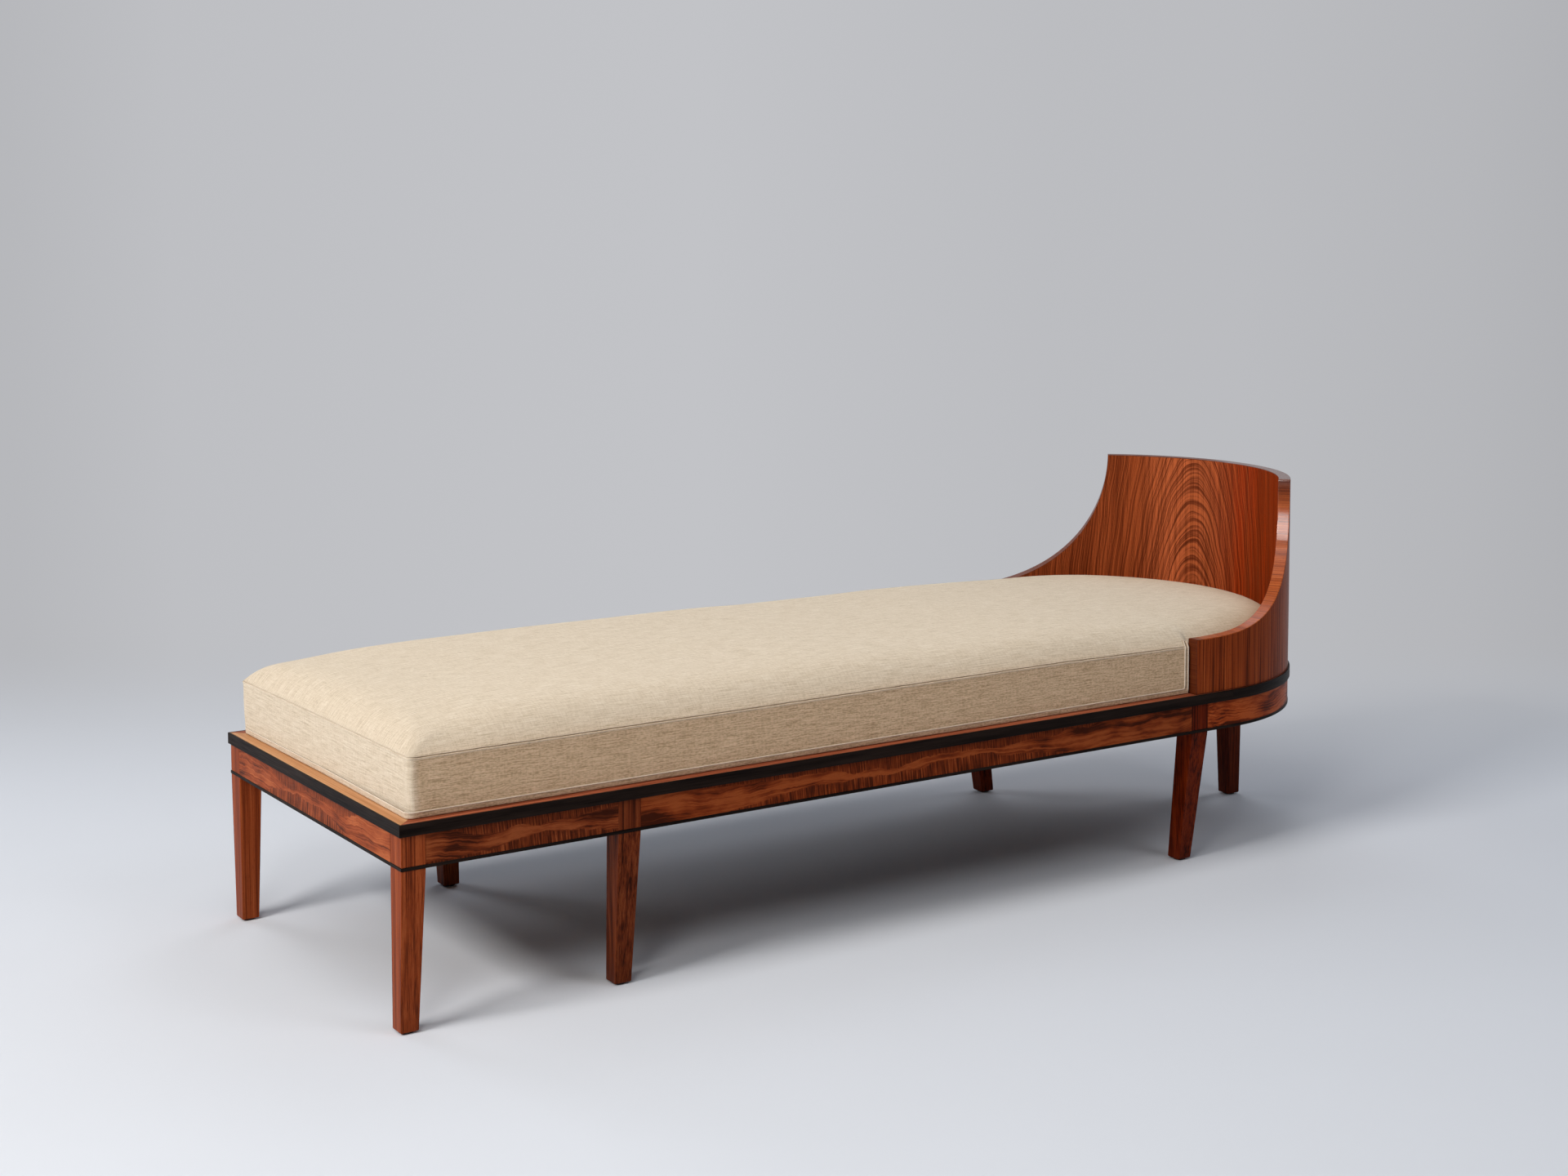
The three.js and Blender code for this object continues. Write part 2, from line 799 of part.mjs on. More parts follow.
const hemTape = sweep(hemPath(), () => bar(-jointGap - hemThickness, -jointGap, hemBottom, hemTop));
const hemUpright = block(
  hemEndX - hemWidth,
  hemEndX,
  -halfWidth + hemOuter,
  -halfWidth + hemInner,
  hemBottom,
  hemRise,
);
addPiece('pad_hem', join(hemTape, [hemUpright, mirrored(hemUpright)]), linen);

export default recamier;
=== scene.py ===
# Looks of the day bed: bevelled rosewood joinery, a bent veneered headboard
# and an upholstered linen pad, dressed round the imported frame. Metres, +Z up,
# the foot end at -X, the round head end at +X and the near side at -Y.
import math

import bmesh
import bpy
import numpy as np
from mathutils import Matrix, Vector


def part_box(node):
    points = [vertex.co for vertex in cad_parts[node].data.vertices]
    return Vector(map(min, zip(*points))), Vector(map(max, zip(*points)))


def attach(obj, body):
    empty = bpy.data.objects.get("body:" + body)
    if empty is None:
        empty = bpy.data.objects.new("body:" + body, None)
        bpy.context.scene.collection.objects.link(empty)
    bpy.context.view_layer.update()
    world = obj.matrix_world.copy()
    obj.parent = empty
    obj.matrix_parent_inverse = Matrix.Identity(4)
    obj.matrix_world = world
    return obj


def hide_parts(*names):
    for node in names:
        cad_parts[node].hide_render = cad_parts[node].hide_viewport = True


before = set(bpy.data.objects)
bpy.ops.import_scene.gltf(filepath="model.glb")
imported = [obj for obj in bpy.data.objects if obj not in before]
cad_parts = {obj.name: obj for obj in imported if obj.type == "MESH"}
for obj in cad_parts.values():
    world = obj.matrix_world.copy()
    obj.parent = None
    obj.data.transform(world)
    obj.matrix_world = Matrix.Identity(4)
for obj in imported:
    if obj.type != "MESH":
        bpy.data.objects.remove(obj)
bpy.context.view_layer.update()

MM = 0.001
SCENE = bpy.context.scene

# Places read from the frame
band_low, band_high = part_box("band_foot")
FOOT_X = band_low.x
HALF_LENGTH = -FOOT_X
HALF_WIDTH = band_high.y
HEAD_X = HALF_LENGTH - HALF_WIDTH
FRAME_TOP = band_high.z
APRON_TOP = band_low.z
APRON_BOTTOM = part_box("strip_foot")[1].z
SHELL_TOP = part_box("headboard")[1].z
ARM_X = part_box("headboard")[0].x
SHELL_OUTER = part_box("headboard")[1].y
NOTCH_GAP = 1 * MM
PAD_NOTCH_X = ARM_X - NOTCH_GAP
PAD_FOOT_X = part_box("pad")[0].x
PAD_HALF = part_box("pad")[1].y
PAD_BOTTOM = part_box("pad")[0].z

# Headboard
SHELL_THICKNESS = 23 * MM
ARM_TOP = 427.9 * MM
ARM_RUN = HEAD_X - ARM_X
SWOOP_LENGTH = 347.5 * MM
SWOOP_RUN_POWER = 2.79
SWOOP_RISE_POWER = 1.9
SHELL_LENGTH = 2 * ARM_RUN + math.pi * SHELL_OUTER
EDGE_ROUND = 1.3 * MM
STRIP_WIDTH = 8 * MM
SWOOP_STEPS = 60
LEAST_MITRE = 0.35

# Pad
SEAM_HEIGHT = 92.5 * MM
PAD_CROWN = 50 * MM
PAD_SHOULDER = 216 * MM
PAD_CORNER = 9 * MM
PAD_DRAW_IN = 1.6 * MM
PAD_STEP = 6.7 * MM
CROWN_POWER = 7.5
CORNER_GROWTH = 0.8
HEAD_DROP = 25 * MM
HEAD_DROP_RUN = 745 * MM
SEAM_DROP_SHARE = 0.4
HEM_WIDTH = 10.5 * MM
HEM_LOW = 0.4 * MM
HEM_TURN = 2.5 * MM
HEM_OVER_SEAM = 10 * MM


def link(obj):
    SCENE.collection.objects.link(obj)
    return obj


def mesh_object(name, points, faces, smooth=True):
    mesh = bpy.data.meshes.new(name)
    mesh.from_pydata([tuple(p) for p in points], [], faces)
    mesh.validate()
    if smooth:
        mesh.shade_smooth()
    return link(bpy.data.objects.new(name, mesh))


def dress(piece, slot, materials, *nodes):
    """Gives a new piece its materials and its body, and hides the nodes it stands for."""
    for material in materials:
        piece.data.materials.append(material)
    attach(piece, "root")
    if nodes:
        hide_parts(*nodes)
    return piece


# Node materials


class Nodes:
    """Short calls for the nodes of a material or of the world."""

    def __init__(self, tree):
        self.tree = tree

    def feed(self, socket, value):
        if isinstance(value, bpy.types.NodeSocket):
            self.tree.links.new(value, socket)
        else:
            socket.default_value = value

    def add(self, kind, inputs, **settings):
        node = self.tree.nodes.new("ShaderNode" + kind)
        for key, value in settings.items():
            setattr(node, key, value)
        for key, value in inputs.items():
            self.feed(node.inputs[key], value)
        return node

    def math(self, operation, a, b=0.0, c=0.0, clamp=False):
        node = self.add("Math", {0: a, 1: b, 2: c}, operation=operation, use_clamp=clamp)
        return node.outputs[0]

    def scaled(self, a, factor, offset=0.0):
        return self.math("MULTIPLY_ADD", a, factor, offset)

    def blend(self, *parts):
        """Sum of values, each times its weight."""
        total = 0.0
        for value, weight in parts:
            total = self.scaled(value, weight, total)
        return total

    def length(self, a, b):
        squares = [self.math("MULTIPLY", side, side) for side in (a, b)]
        return self.math("SQRT", self.math("ADD", *squares))

    def place(self):
        """The three object coordinates of a surface point."""
        found = self.add("TexCoord", {}).outputs["Object"]
        return self.add("SeparateXYZ", {0: found}).outputs

    def stored(self, name):
        """The three parts of a vector that the mesh carries."""
        found = self.add("Attribute", {}, attribute_name=name).outputs["Vector"]
        return self.add("SeparateXYZ", {0: found}).outputs

    def noise(self, x, y, z, detail, rough=0.5):
        place = self.add("CombineXYZ", {0: x, 1: y, 2: z}).outputs[0]
        inputs = {"Vector": place, "Scale": 1.0, "Detail": detail, "Roughness": rough}
        return self.add("TexNoise", inputs).outputs[0]

    def patches(self, a, b, size, detail, rough=0.5, shift=0.0, layer=0.0):
        """Noise over two coordinates, in patches of that size along each."""
        x, y = self.scaled(a, 1 / size[0], shift), self.scaled(b, 1 / size[1])
        return self.noise(x, y, layer, detail, rough)

    def streaks(self, grain, width, length, detail, rough, shift):
        """Noise drawn out along the grain, in streaks of that width and length."""
        along, across, depth = grain
        return self.noise(
            self.scaled(across, 1 / width, shift),
            self.scaled(along, 1 / length, shift),
            self.scaled(depth, 1 / width),
            detail,
            rough,
        )

    def remap(self, value, low, high, to_low=0.0, to_high=1.0, smooth=False):
        kind = "SMOOTHSTEP" if smooth else "LINEAR"
        inputs = {0: value, 1: low, 2: high, 3: to_low, 4: to_high}
        return self.add("MapRange", inputs, interpolation_type=kind).outputs[0]

    def ramp(self, value, stops, smooth=False):
        node = self.add("ValToRGB", {0: value})
        ramp = node.color_ramp
        ramp.interpolation = "EASE" if smooth else "LINEAR"
        while len(ramp.elements) < len(stops):
            ramp.elements.new(0.5)
        for element, (position, colour) in zip(ramp.elements, stops):
            element.position = position
            element.color = (*colour, 1.0) if hasattr(colour, "__len__") else (colour,) * 3 + (1.0,)
        return node.outputs[0]

    def mix(self, share, a, b, blend="MIX"):
        node = self.add("Mix", {}, data_type="RGBA", blend_type=blend)
        self.feed(node.inputs[0], share)
        for i, value in ((6, a), (7, b)):
            linked = isinstance(value, bpy.types.NodeSocket)
            self.feed(node.inputs[i], value if linked else (*value, 1.0))
        return node.outputs[2]

    def bump(self, height, distance, strength, normal=None):
        inputs = {"Height": height, "Distance": distance, "Strength": strength}
        if normal is not None:
            inputs["Normal"] = normal
        return self.add("Bump", inputs).outputs[0]


class Finish(Nodes):
    """A node material."""

    def __init__(self, name, surface):
        self.material = bpy.data.materials.new(name)
        self.material.use_nodes = True
        super().__init__(self.material.node_tree)
        self.shader = self.tree.nodes["Principled BSDF"]
        for socket, value in surface.items():
            self.shader.inputs[socket].default_value = value

    def finish(self, colour, roughness=None, normal=None):
        given = {"Base Color": colour, "Roughness": roughness, "Normal": normal}
        for socket, value in given.items():
            if value is not None:
                self.feed(self.shader.inputs[socket], value)
        return self.material


# Directions of the grain: each gives (along, across, depth) of a point


def grain_axes(along, across, depth):
    def direction(f):
        place = f.place()
        return place[along], place[across], place[depth]

    return direction


X, Y, Z = 0, 1, 2
grain_upright = grain_axes(Z, X, Y)
grain_lengthwise = grain_axes(X, Z, Y)
grain_crosswise = grain_axes(Y, Z, X)
grain_flat_lengthwise = grain_axes(X, Y, Z)
grain_flat_crosswise = grain_axes(Y, X, Z)


def grain_flat_bow(f):
    """Run round the head end, radius and height."""
    x, y, z = f.place()
    off = f.math("SUBTRACT", x, HEAD_X)
    angle = f.math("ARCTAN2", off, f.scaled(y, -1.0))
    return f.scaled(angle, HALF_WIDTH), f.length(off, y), z


def grain_bow(f):
    run, radius, z = grain_flat_bow(f)
    return run, z, radius


def grain_panel(f):
    run, z, depth = f.stored("panel")
    return z, run, depth


def grain_edge(f):
    _, _, depth = f.stored("panel")
    along, _, _ = f.stored("edge")
    return depth, along, 0.0


ROSEWOOD = {
    "dark": (0.066, 0.0125, 0.0036),
    "mid": (0.275, 0.049, 0.0112),
    "light": (0.430, 0.100, 0.027),
}
# Golden tones for the foot board: the sheen its cross fibres give in the lamp, painted into its
# colour
GOLDEN_SHEEN = {
    "dark": (0.420, 0.165, 0.058),
    "mid": (0.570, 0.265, 0.110),
    "light": (0.660, 0.350, 0.170),
}
SATIN = {"Specular IOR Level": 0.03, "Coat Weight": 0.02, "Coat Roughness": 0.2}
GLOSSY = {"Specular IOR Level": 0.1, "Coat Roughness": 0.13, "Coat IOR": 1.7}


# Widths of the bands, stripes and hairlines of straight grain, their weights,
# and the levels of dark, mid and light in their sum
GRAIN_SIZES = (16 * MM, 4.5 * MM, 1.4 * MM)
GRAIN_WEIGHTS = (0.28, 0.4, 0.32)
GRAIN_CONTRAST = (0.38, 0.49, 0.61)


def tint(colours, factor):
    return {k: tuple(c * f for c, f in zip(v, factor)) for k, v in colours.items()}


def in_tones(f, tone, colours, contrast):
    return f.ramp(tone, list(zip(contrast, colours.values())))


def wood_figure(f, grain, wobble, sizes, weights, shift):
    """Tone from 0 to 1 of straight-grained wood, its grain and its hairlines."""
    along, across, depth = grain
    wander = f.streaks(grain, 60 * MM, 400 * MM, 1.0, 0.5, shift)
    across = f.math("ADD", across, f.scaled(wander, wobble, -wobble / 2))
    bent = (along, across, depth)
    band = f.streaks(bent, sizes[0], 900 * MM, 2.0, 0.5, shift)
    stripe = f.streaks(bent, sizes[1], 500 * MM, 2.0, 0.55, shift + 3)
    hair = f.streaks(bent, sizes[2], 130 * MM, 2.0, 0.6, shift + 7)
    return f.blend(*zip((band, stripe, hair), weights)), bent, hair


def pored(f, grain, colour, dark, hair, gloss, strength=0.4):
    """Adds short dark pores, and the gloss and bump that go with them."""
    pores = f.streaks(grain, 0.55 * MM, 9 * MM, 1.0, 0.5, 11)
    pores = f.remap(pores, 0.58, 0.7)
    colour = f.mix(f.scaled(pores, strength), colour, dark)
    roughness = f.remap(hair, 0.35, 0.65, gloss + 0.06, gloss - 0.04)
    height = f.math("SUBTRACT", f.scaled(hair, 0.3), f.scaled(pores, 0.7))
    return f.finish(colour, roughness, f.bump(height, 0.12 * MM, 0.5))


def straight_wood(
    name,
    direction,
    shift,
    factor=(1, 1, 1),
    colours=ROSEWOOD,
    sizes=GRAIN_SIZES,
    weights=GRAIN_WEIGHTS,
    contrast=GRAIN_CONTRAST,
):
    """Straight-grained polished wood."""
    f = Finish(name, SATIN)
    colours = tint(colours, factor)
    tone, bent, hair = wood_figure(f, direction(f), 5 * MM, sizes, weights, shift)
    colour = in_tones(f, tone, colours, contrast)
    return pored(f, bent, colour, colours["dark"], hair, 0.32)


# Apron veneer: a wavy spindle of long grain, with cross strokes above and
# below it. "reach" says how far the long grain goes up and down, place by place.
APRON_MIDDLE = (APRON_TOP + APRON_BOTTOM) / 2
APRON_HALF = (APRON_TOP - APRON_BOTTOM) / 2
APRON_SIZES = (8 * MM, 2.8 * MM, 1.2 * MM)
APRON_WEIGHTS = (0.34, 0.4, 0.26)
APRON_CONTRAST = (0.38, 0.48, 0.59)
SPINDLE_SCALE = 19 * MM
STROKE_LEVELS = (0.36, 0.46, 0.58, 0.72)


def apron_wood(name, direction, shift, ends, reach, factor, contrast=APRON_CONTRAST):
    f = Finish(name, SATIN)
    along, height, depth = direction(f)
    colours = tint(ROSEWOOD, factor)
    start, end = ends

    wave = f.patches(along, height, (0.17, 0.12), 5.0, 0.55, shift)
    level = f.scaled(height, 1 / APRON_HALF, -APRON_MIDDLE / APRON_HALF)
    off = f.math("ADD", level, f.scaled(wave, 2.2, -1.1))
    figure = (along, f.scaled(off, SPINDLE_SCALE), depth)
    tone, bent, hair = wood_figure(f, figure, 16 * MM, APRON_SIZES, APRON_WEIGHTS, shift)
    glow = f.patches(along, height, (0.08, 0.035), 3.0, shift=shift + 5)
    tone = f.math("ADD", tone, f.remap(glow, 0.35, 0.65, -0.115, 0.095))
    plain = in_tones(f, tone, colours, contrast)

    lean = f.math("ADD", along, f.scaled(height, 0.1))
    strokes = f.patches(lean, height, (2.6 * MM, 0.06), 2.0, 0.6, shift)
    dusk = f.patches(along, height, (0.03, 0.03), 2.0, shift=shift + 2)
    strokes = f.math("ADD", strokes, f.remap(dusk, 0.35, 0.65, -0.05, 0.05))
    near_black = tuple(c * 1.1 for c in colours["dark"])
    brown, glowing = (tuple(c * share for c in colours["mid"]) for share in (0.5, 0.95))
    tones = (near_black, brown, glowing, colours["light"])
    lines = f.ramp(strokes, list(zip(STROKE_LEVELS, tones)))

    share = f.math("DIVIDE", f.math("SUBTRACT", along, start), end - start, clamp=True)
    teeth = f.noise(f.scaled(lean, 1 / (7 * MM), shift + 9), 0.0, 0.0, 2.0, 0.7)
    patchy = f.patches(along, height, (0.06, 0.05), 2.0, shift=shift)
    edge = f.math("ADD", f.math("ABSOLUTE", off), f.scaled(teeth, 0.22, -0.11))
    edge = f.math("ADD", edge, f.scaled(patchy, 0.5, -0.25))
    reached = f.scaled(f.ramp(share, reach), 1.25)
    crossed = f.remap(f.math("SUBTRACT", edge, reached), -0.03, 0.04)
    colour = f.mix(crossed, plain, lines)
    return pored(f, bent, colour, colours["dark"], hair, 0.34, 0.3)


# Crown-cut veneer inside the headboard: growth rings that the panel cuts on
# a slant, so that they rise in arches over one line and run straight beside it
FLAME_RUN = 101 * MM
FLAME_DEPTH = 10 * MM
FLAME_SLANT = 0.2
RING_WIDTH = 3.9 * MM
RING_PROFILE = [(0.0, 0.0), (0.5, 0.05), (0.8, 0.5), (0.91, 1.0), (1.0, 0.0)]
FLAME_NEAR_SIDE = (0.38, 0.033, 0.002)
FLAME_MIDDLE = (0.70, 0.163, 0.054)
FLAME_FAR_SIDE = (0.365, 0.070, 0.0175)
FLAME_BAND = (0.14, 0.021, 0.004)
FLAME_STREAK = (0.09, 0.014, 0.003)
FLAME_GLOW = (0.56, 0.13, 0.034)
FLAME_LINE = (0.045, 0.008, 0.002)


def flame_wood(name):
    f = Finish(name, SATIN)
    run, z, depth = f.stored("panel")
    lean = f.patches(z, run, (0.16, 0.3), 1.0)
    off = f.math("ADD", f.math("SUBTRACT", run, FLAME_RUN), f.scaled(lean, 24 * MM, -12 * MM))
    swell = f.patches(run, z, (0.05, 0.09), 1.0)
    level = f.math("ADD", f.scaled(z, FLAME_SLANT, FLAME_DEPTH), f.scaled(swell, 4 * MM, -2 * MM))
    ring = f.length(off, level)
    flank = f.remap(off, -0.02, 0.02, -1.0, 1.0)
    uneven = f.noise(f.scaled(ring, 1 / (16 * MM)), f.scaled(flank, 0.35), 0.0, 1.0)
    turns = f.scaled(f.math("ADD", ring, f.scaled(uneven, 12 * MM)), 1 / RING_WIDTH)
    line = f.ramp(f.math("FRACT", turns), RING_PROFILE, True)
    order = f.scaled(f.math("FLOOR", turns), 0.77)
    force = f.noise(order, f.scaled(flank, 0.8), f.scaled(z, 2.5), 1.0)
    force = f.remap(force, 0.38, 0.62, 0.06, 0.6)
    fades = (
        force,
        f.remap(off, 0.02, 0.09, 1.0, 0.35, smooth=True),
        f.remap(off, -0.1, -0.04, 0.4, 1.0),
        f.remap(z, 0.5, 0.66, 1.0, 0.4),
    )
    for fade in fades:
        line = f.math("MULTIPLY", line, fade)
    ringed = (f.scaled(z, 0.15), ring, f.scaled(flank, 0.15 * MM))
    hair = f.streaks(ringed, 1.5 * MM, 120 * MM, 3.0, 0.65, 9)
    stripe = f.streaks((z, run, depth), 3.2 * MM, 300 * MM, 2.0, 0.55, 2)
    band = f.streaks((z, run, depth), 34 * MM, 900 * MM, 1.0, 0.5, 5)
    base = f.mix(f.remap(off, -0.13, -0.03), FLAME_NEAR_SIDE, FLAME_MIDDLE)
    base = f.mix(f.remap(off, 0.05, 0.14), base, FLAME_FAR_SIDE)
    base = f.mix(f.remap(band, 0.56, 0.38, 0.0, 0.4), base, FLAME_BAND)
    base = f.mix(f.remap(stripe, 0.53, 0.4, 0.0, 0.55), base, FLAME_STREAK)
    base = f.mix(f.remap(hair, 0.53, 0.38, 0.0, 0.78), base, FLAME_STREAK)
    base = f.mix(f.remap(hair, 0.5, 0.64, 0.0, 0.45), base, FLAME_GLOW)
    colour = f.mix(line, base, FLAME_LINE)
    return pored(f, (z, run, depth), colour, FLAME_LINE, hair, 0.3, 0.3)


# Edging: heights over which the lacquer rises and over which the edge darkens again, partly dark
# end grain and partly painted shade, and the run over which the far side darkens as painted shade
# and loses its lacquer
LACQUER_RISE = (0.53, 0.6)
TOP_DULL_AND_SHADE = (0.635, 0.685)
FAR_SHADE_RUN = (0.0, 0.1)
EDGE_SIZES = (14 * MM, 3 * MM, 0.9 * MM)
# Dark of the dull arm fronts, cap and top, which is also the painted shade on the far side
EDGE_DULL_AND_SHADE = (0.055, 0.010, 0.004)


def edge_wood(name):
    """Cross-grained edging: lacquered on the swoop, dull and dark elsewhere; painted shade darkens
    the far side, and adds to the dark end grain at the top.
    """
    f = Finish(name, GLOSSY)
    _, front, cap = f.stored("edge")
    run, z, _ = f.stored("panel")
    colours = tint(ROSEWOOD, (1.4, 1.5, 1.3))
    tone, bent, hair = wood_figure(f, grain_edge(f), 2 * MM, EDGE_SIZES, GRAIN_WEIGHTS, 15.0)
    dull_and_shade = f.math("MAXIMUM", f.scaled(front, 0.85), f.scaled(cap, 0.75))
    dull_and_shade = f.math("MAXIMUM", dull_and_shade, f.remap(z, *TOP_DULL_AND_SHADE, 0.0, 0.75))
    # Painted shade on the far side of the swoop
    dull_and_shade = f.math("MAXIMUM", dull_and_shade, f.remap(run, *FAR_SHADE_RUN, 0.0, 0.7))
    colour = f.mix(dull_and_shade, in_tones(f, tone, colours, GRAIN_CONTRAST), EDGE_DULL_AND_SHADE)
    lacquer = f.remap(z, *LACQUER_RISE, 0.08, 0.78, smooth=True)
    lacquer = f.math("MULTIPLY", lacquer, f.remap(run, *FAR_SHADE_RUN, 1.0, 0.15))
    lacquer = f.math("MULTIPLY", lacquer, f.scaled(front, -0.9, 1.0))
    coat = f.math("SUBTRACT", lacquer, f.scaled(cap, 0.28), clamp=True)
    f.feed(f.shader.inputs["Coat Weight"], coat)
    return pored(f, bent, colour, colours["dark"], hair, 0.3)


def ebonised(name, direction):
    f = Finish(name, {"Specular IOR Level": 0.04})
    grain = direction(f)
    hair = f.streaks(grain, 1.2 * MM, 60 * MM, 2.0, 0.6, 1)
    band = f.streaks(grain, 12 * MM, 300 * MM, 2.0, 0.5, 4)
    tone = f.blend((band, 0.6), (hair, 0.4))
    colour = f.ramp(tone, [(0.36, (0.0045, 0.0024, 0.0018)), (0.62, (0.021, 0.0122, 0.0088))])
    roughness = f.remap(hair, 0.35, 0.65, 0.46, 0.34)
    return f.finish(colour, roughness, f.bump(hair, 0.08 * MM, 0.4))


def plain_wood(name, direction, dark, light, sizes, roughness):
    f = Finish(name, {"Specular IOR Level": 0.3})
    grain = direction(f)
    tone, bent, hair = wood_figure(f, grain, 8 * MM, sizes, (0.42, 0.38, 0.2), 2.0)
    colour = f.ramp(tone, [(0.38, dark), (0.6, light)])
    flecks = f.remap(f.streaks(bent, 0.6 * MM, 5 * MM, 1.0, 0.5, 3), 0.6, 0.72)
    colour = f.mix(f.scaled(flecks, 0.25), colour, dark)
    gloss = f.remap(hair, 0.35, 0.65, roughness + 0.06, roughness - 0.06)
    return f.finish(colour, gloss, f.bump(flecks, 0.1 * MM, 0.4))


def felt(name):
    f = Finish(name, {"Specular IOR Level": 0.1, "Sheen Weight": 0.3, "Sheen Roughness": 0.6})
    fuzz = f.noise(*(f.scaled(v, 900) for v in f.place()), 3.0, 0.6)
    colour = f.ramp(fuzz, [(0.35, (0.012, 0.01, 0.009)), (0.65, (0.035, 0.029, 0.025))])
    return f.finish(colour, f.remap(fuzz, 0.3, 0.7, 0.9, 1.0), f.bump(fuzz, 0.4 * MM, 0.6))


THREAD = 1.7 * MM
LINEN_SURFACE = {"Specular IOR Level": 0.1, "Sheen Weight": 0.1, "Diffuse Roughness": 0.6}
LINEN_SHADES = [
    (0.36, (0.555, 0.433, 0.291)),
    (0.5, (0.778, 0.646, 0.488)),
    (0.64, (0.915, 0.805, 0.655)),
]
LINEN_GAPS = (0.40, 0.31, 0.2)
LINEN_SPECKS = (0.34, 0.235, 0.14)
# Painted shade in creases and painted highlight on ridges
LINEN_CREASE_SHADE = (0.22, 0.14, 0.09)
LINEN_RIDGE_HIGHLIGHT = (0.9, 0.79, 0.65)
# Painted shade on the pad's sides, which the lamp only grazes: a darker, warmer tone
SIDE_SHADE_TINT = (0.98, 0.835, 0.695)
# Painted shade, with a painted red reflection of the headboard, on the pad's top next to it: tint,
# reach in from the edge and run along the bed
DUSK = (0.64, 0.38, 0.17)
DUSK_REACH = 62 * MM
DUSK_RUN = 250 * MM


def linen(name):
    """Twill of slubby yarns, which run along the first part of "cloth"; the third part darkens and
    warms the sides as painted shade and brings out their specks. "seam" paints shade in creases,
    highlights on ridges, and shade with a red reflection of the headboard on the cloth next to it."""
    f = Finish(name, LINEN_SURFACE)
    along, across, side_shade = f.stored("cloth")
    crease_shade, ridge_highlight, dusk = f.stored("seam")
    wave = 2 * math.pi / THREAD
    bend = f.patches(along, across, (0.03, 0.03), 1.0)
    a = f.math("ADD", along, f.scaled(bend, 1.5 * MM))
    b = f.math("ADD", across, f.scaled(bend, 1.1 * MM))
    yarn = f.math("SINE", f.scaled(b, wave))
    pick = f.math("SINE", f.scaled(a, wave))
    rib = f.math("SINE", f.math("MULTIPLY", f.math("ADD", a, b), wave / 2))
    weave = f.blend((yarn, 0.25), (pick, 0.25), (rib, 0.35))
    slub = f.patches(along, across, (40 * MM, 2.2 * MM), 2.0, 0.6)
    cross_slub = f.patches(along, across, (2.2 * MM, 30 * MM), 2.0, 0.6, layer=3.0)
    grit = f.patches(along, across, (6 * MM, 2 * MM), 2.0, 0.7, layer=7.0)
    fleck = f.patches(along, across, (45 * MM, 3.6 * MM), 1.0, layer=5.0)
    cloud = f.patches(along, across, (350 * MM, 120 * MM), 2.0, layer=11.0)
    tone = f.blend((slub, 0.38), (cross_slub, 0.19), (grit, 0.28), (fleck, 0.13), (cloud, 0.02))
    colour = f.ramp(tone, LINEN_SHADES)
    colour = f.mix(f.remap(weave, -0.5, 0.4, 0.3, 0.0), colour, LINEN_GAPS)
    specks = f.remap(f.blend((grit, 0.6), (slub, 0.4)), 0.53, 0.39, 0.0, 0.5)
    colour = f.mix(f.math("MULTIPLY", specks, side_shade), colour, LINEN_SPECKS)
    # Painted shade on the sides
    colour = f.mix(side_shade, colour, SIDE_SHADE_TINT, "MULTIPLY")
    # Painted shade and red reflection next to the headboard
    colour = f.mix(dusk, colour, DUSK, "MULTIPLY")
    # Painted crease shade and ridge highlight
    colour = f.mix(f.scaled(crease_shade, 0.7), colour, LINEN_CREASE_SHADE)
    colour = f.mix(f.scaled(ridge_highlight, 0.8), colour, LINEN_RIDGE_HIGHLIGHT)
    depth = f.remap(side_shade, 0.0, 1.0, 0.6, 1.0)
    rough = f.bump(f.blend((slub, 0.6), (grit, 1.0)), 0.3 * MM, depth)
    normal = f.bump(weave, 0.32 * MM, depth, rough)
    return f.finish(colour, 0.9, normal)


# Rigid pieces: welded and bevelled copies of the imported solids. Faces within
# the flat angle are joined, and edges over the bevel angle are rounded.
WELD_GAP = 0.002 * MM
FLAT_ANGLE = math.radians(0.5)
BEVEL_ANGLE = math.radians(35)
LEG_BEVEL = 0.9 * MM
GLIDE_BEVEL = 0.4 * MM
APRON_BEVEL = 0.3 * MM
BAND_BEVEL = 0.5 * MM


def bevelled(node, slot, material, width):
    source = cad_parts[node]
    mesh = source.data.copy()
    mesh.name = node + "_finish"
    mesh.materials.clear()
    tool = bmesh.new()
    tool.from_mesh(mesh)
    bmesh.ops.remove_doubles(tool, verts=tool.verts, dist=WELD_GAP)
    bmesh.ops.dissolve_limit(tool, angle_limit=FLAT_ANGLE, verts=tool.verts, edges=tool.edges)
    for face in tool.faces:
        face.smooth = True
    tool.to_mesh(mesh)
    tool.free()
    if "custom_normal" in mesh.attributes:
        mesh.attributes.remove(mesh.attributes["custom_normal"])
    piece = link(bpy.data.objects.new(node + "_finish", mesh))
    edge = piece.modifiers.new("rounded_edges", "BEVEL")
    edge.width = width
    edge.segments = 2
    edge.limit_method = "ANGLE"
    edge.angle_limit = BEVEL_ANGLE
    edge.harden_normals = True
    return dress(piece, slot, [material], node)


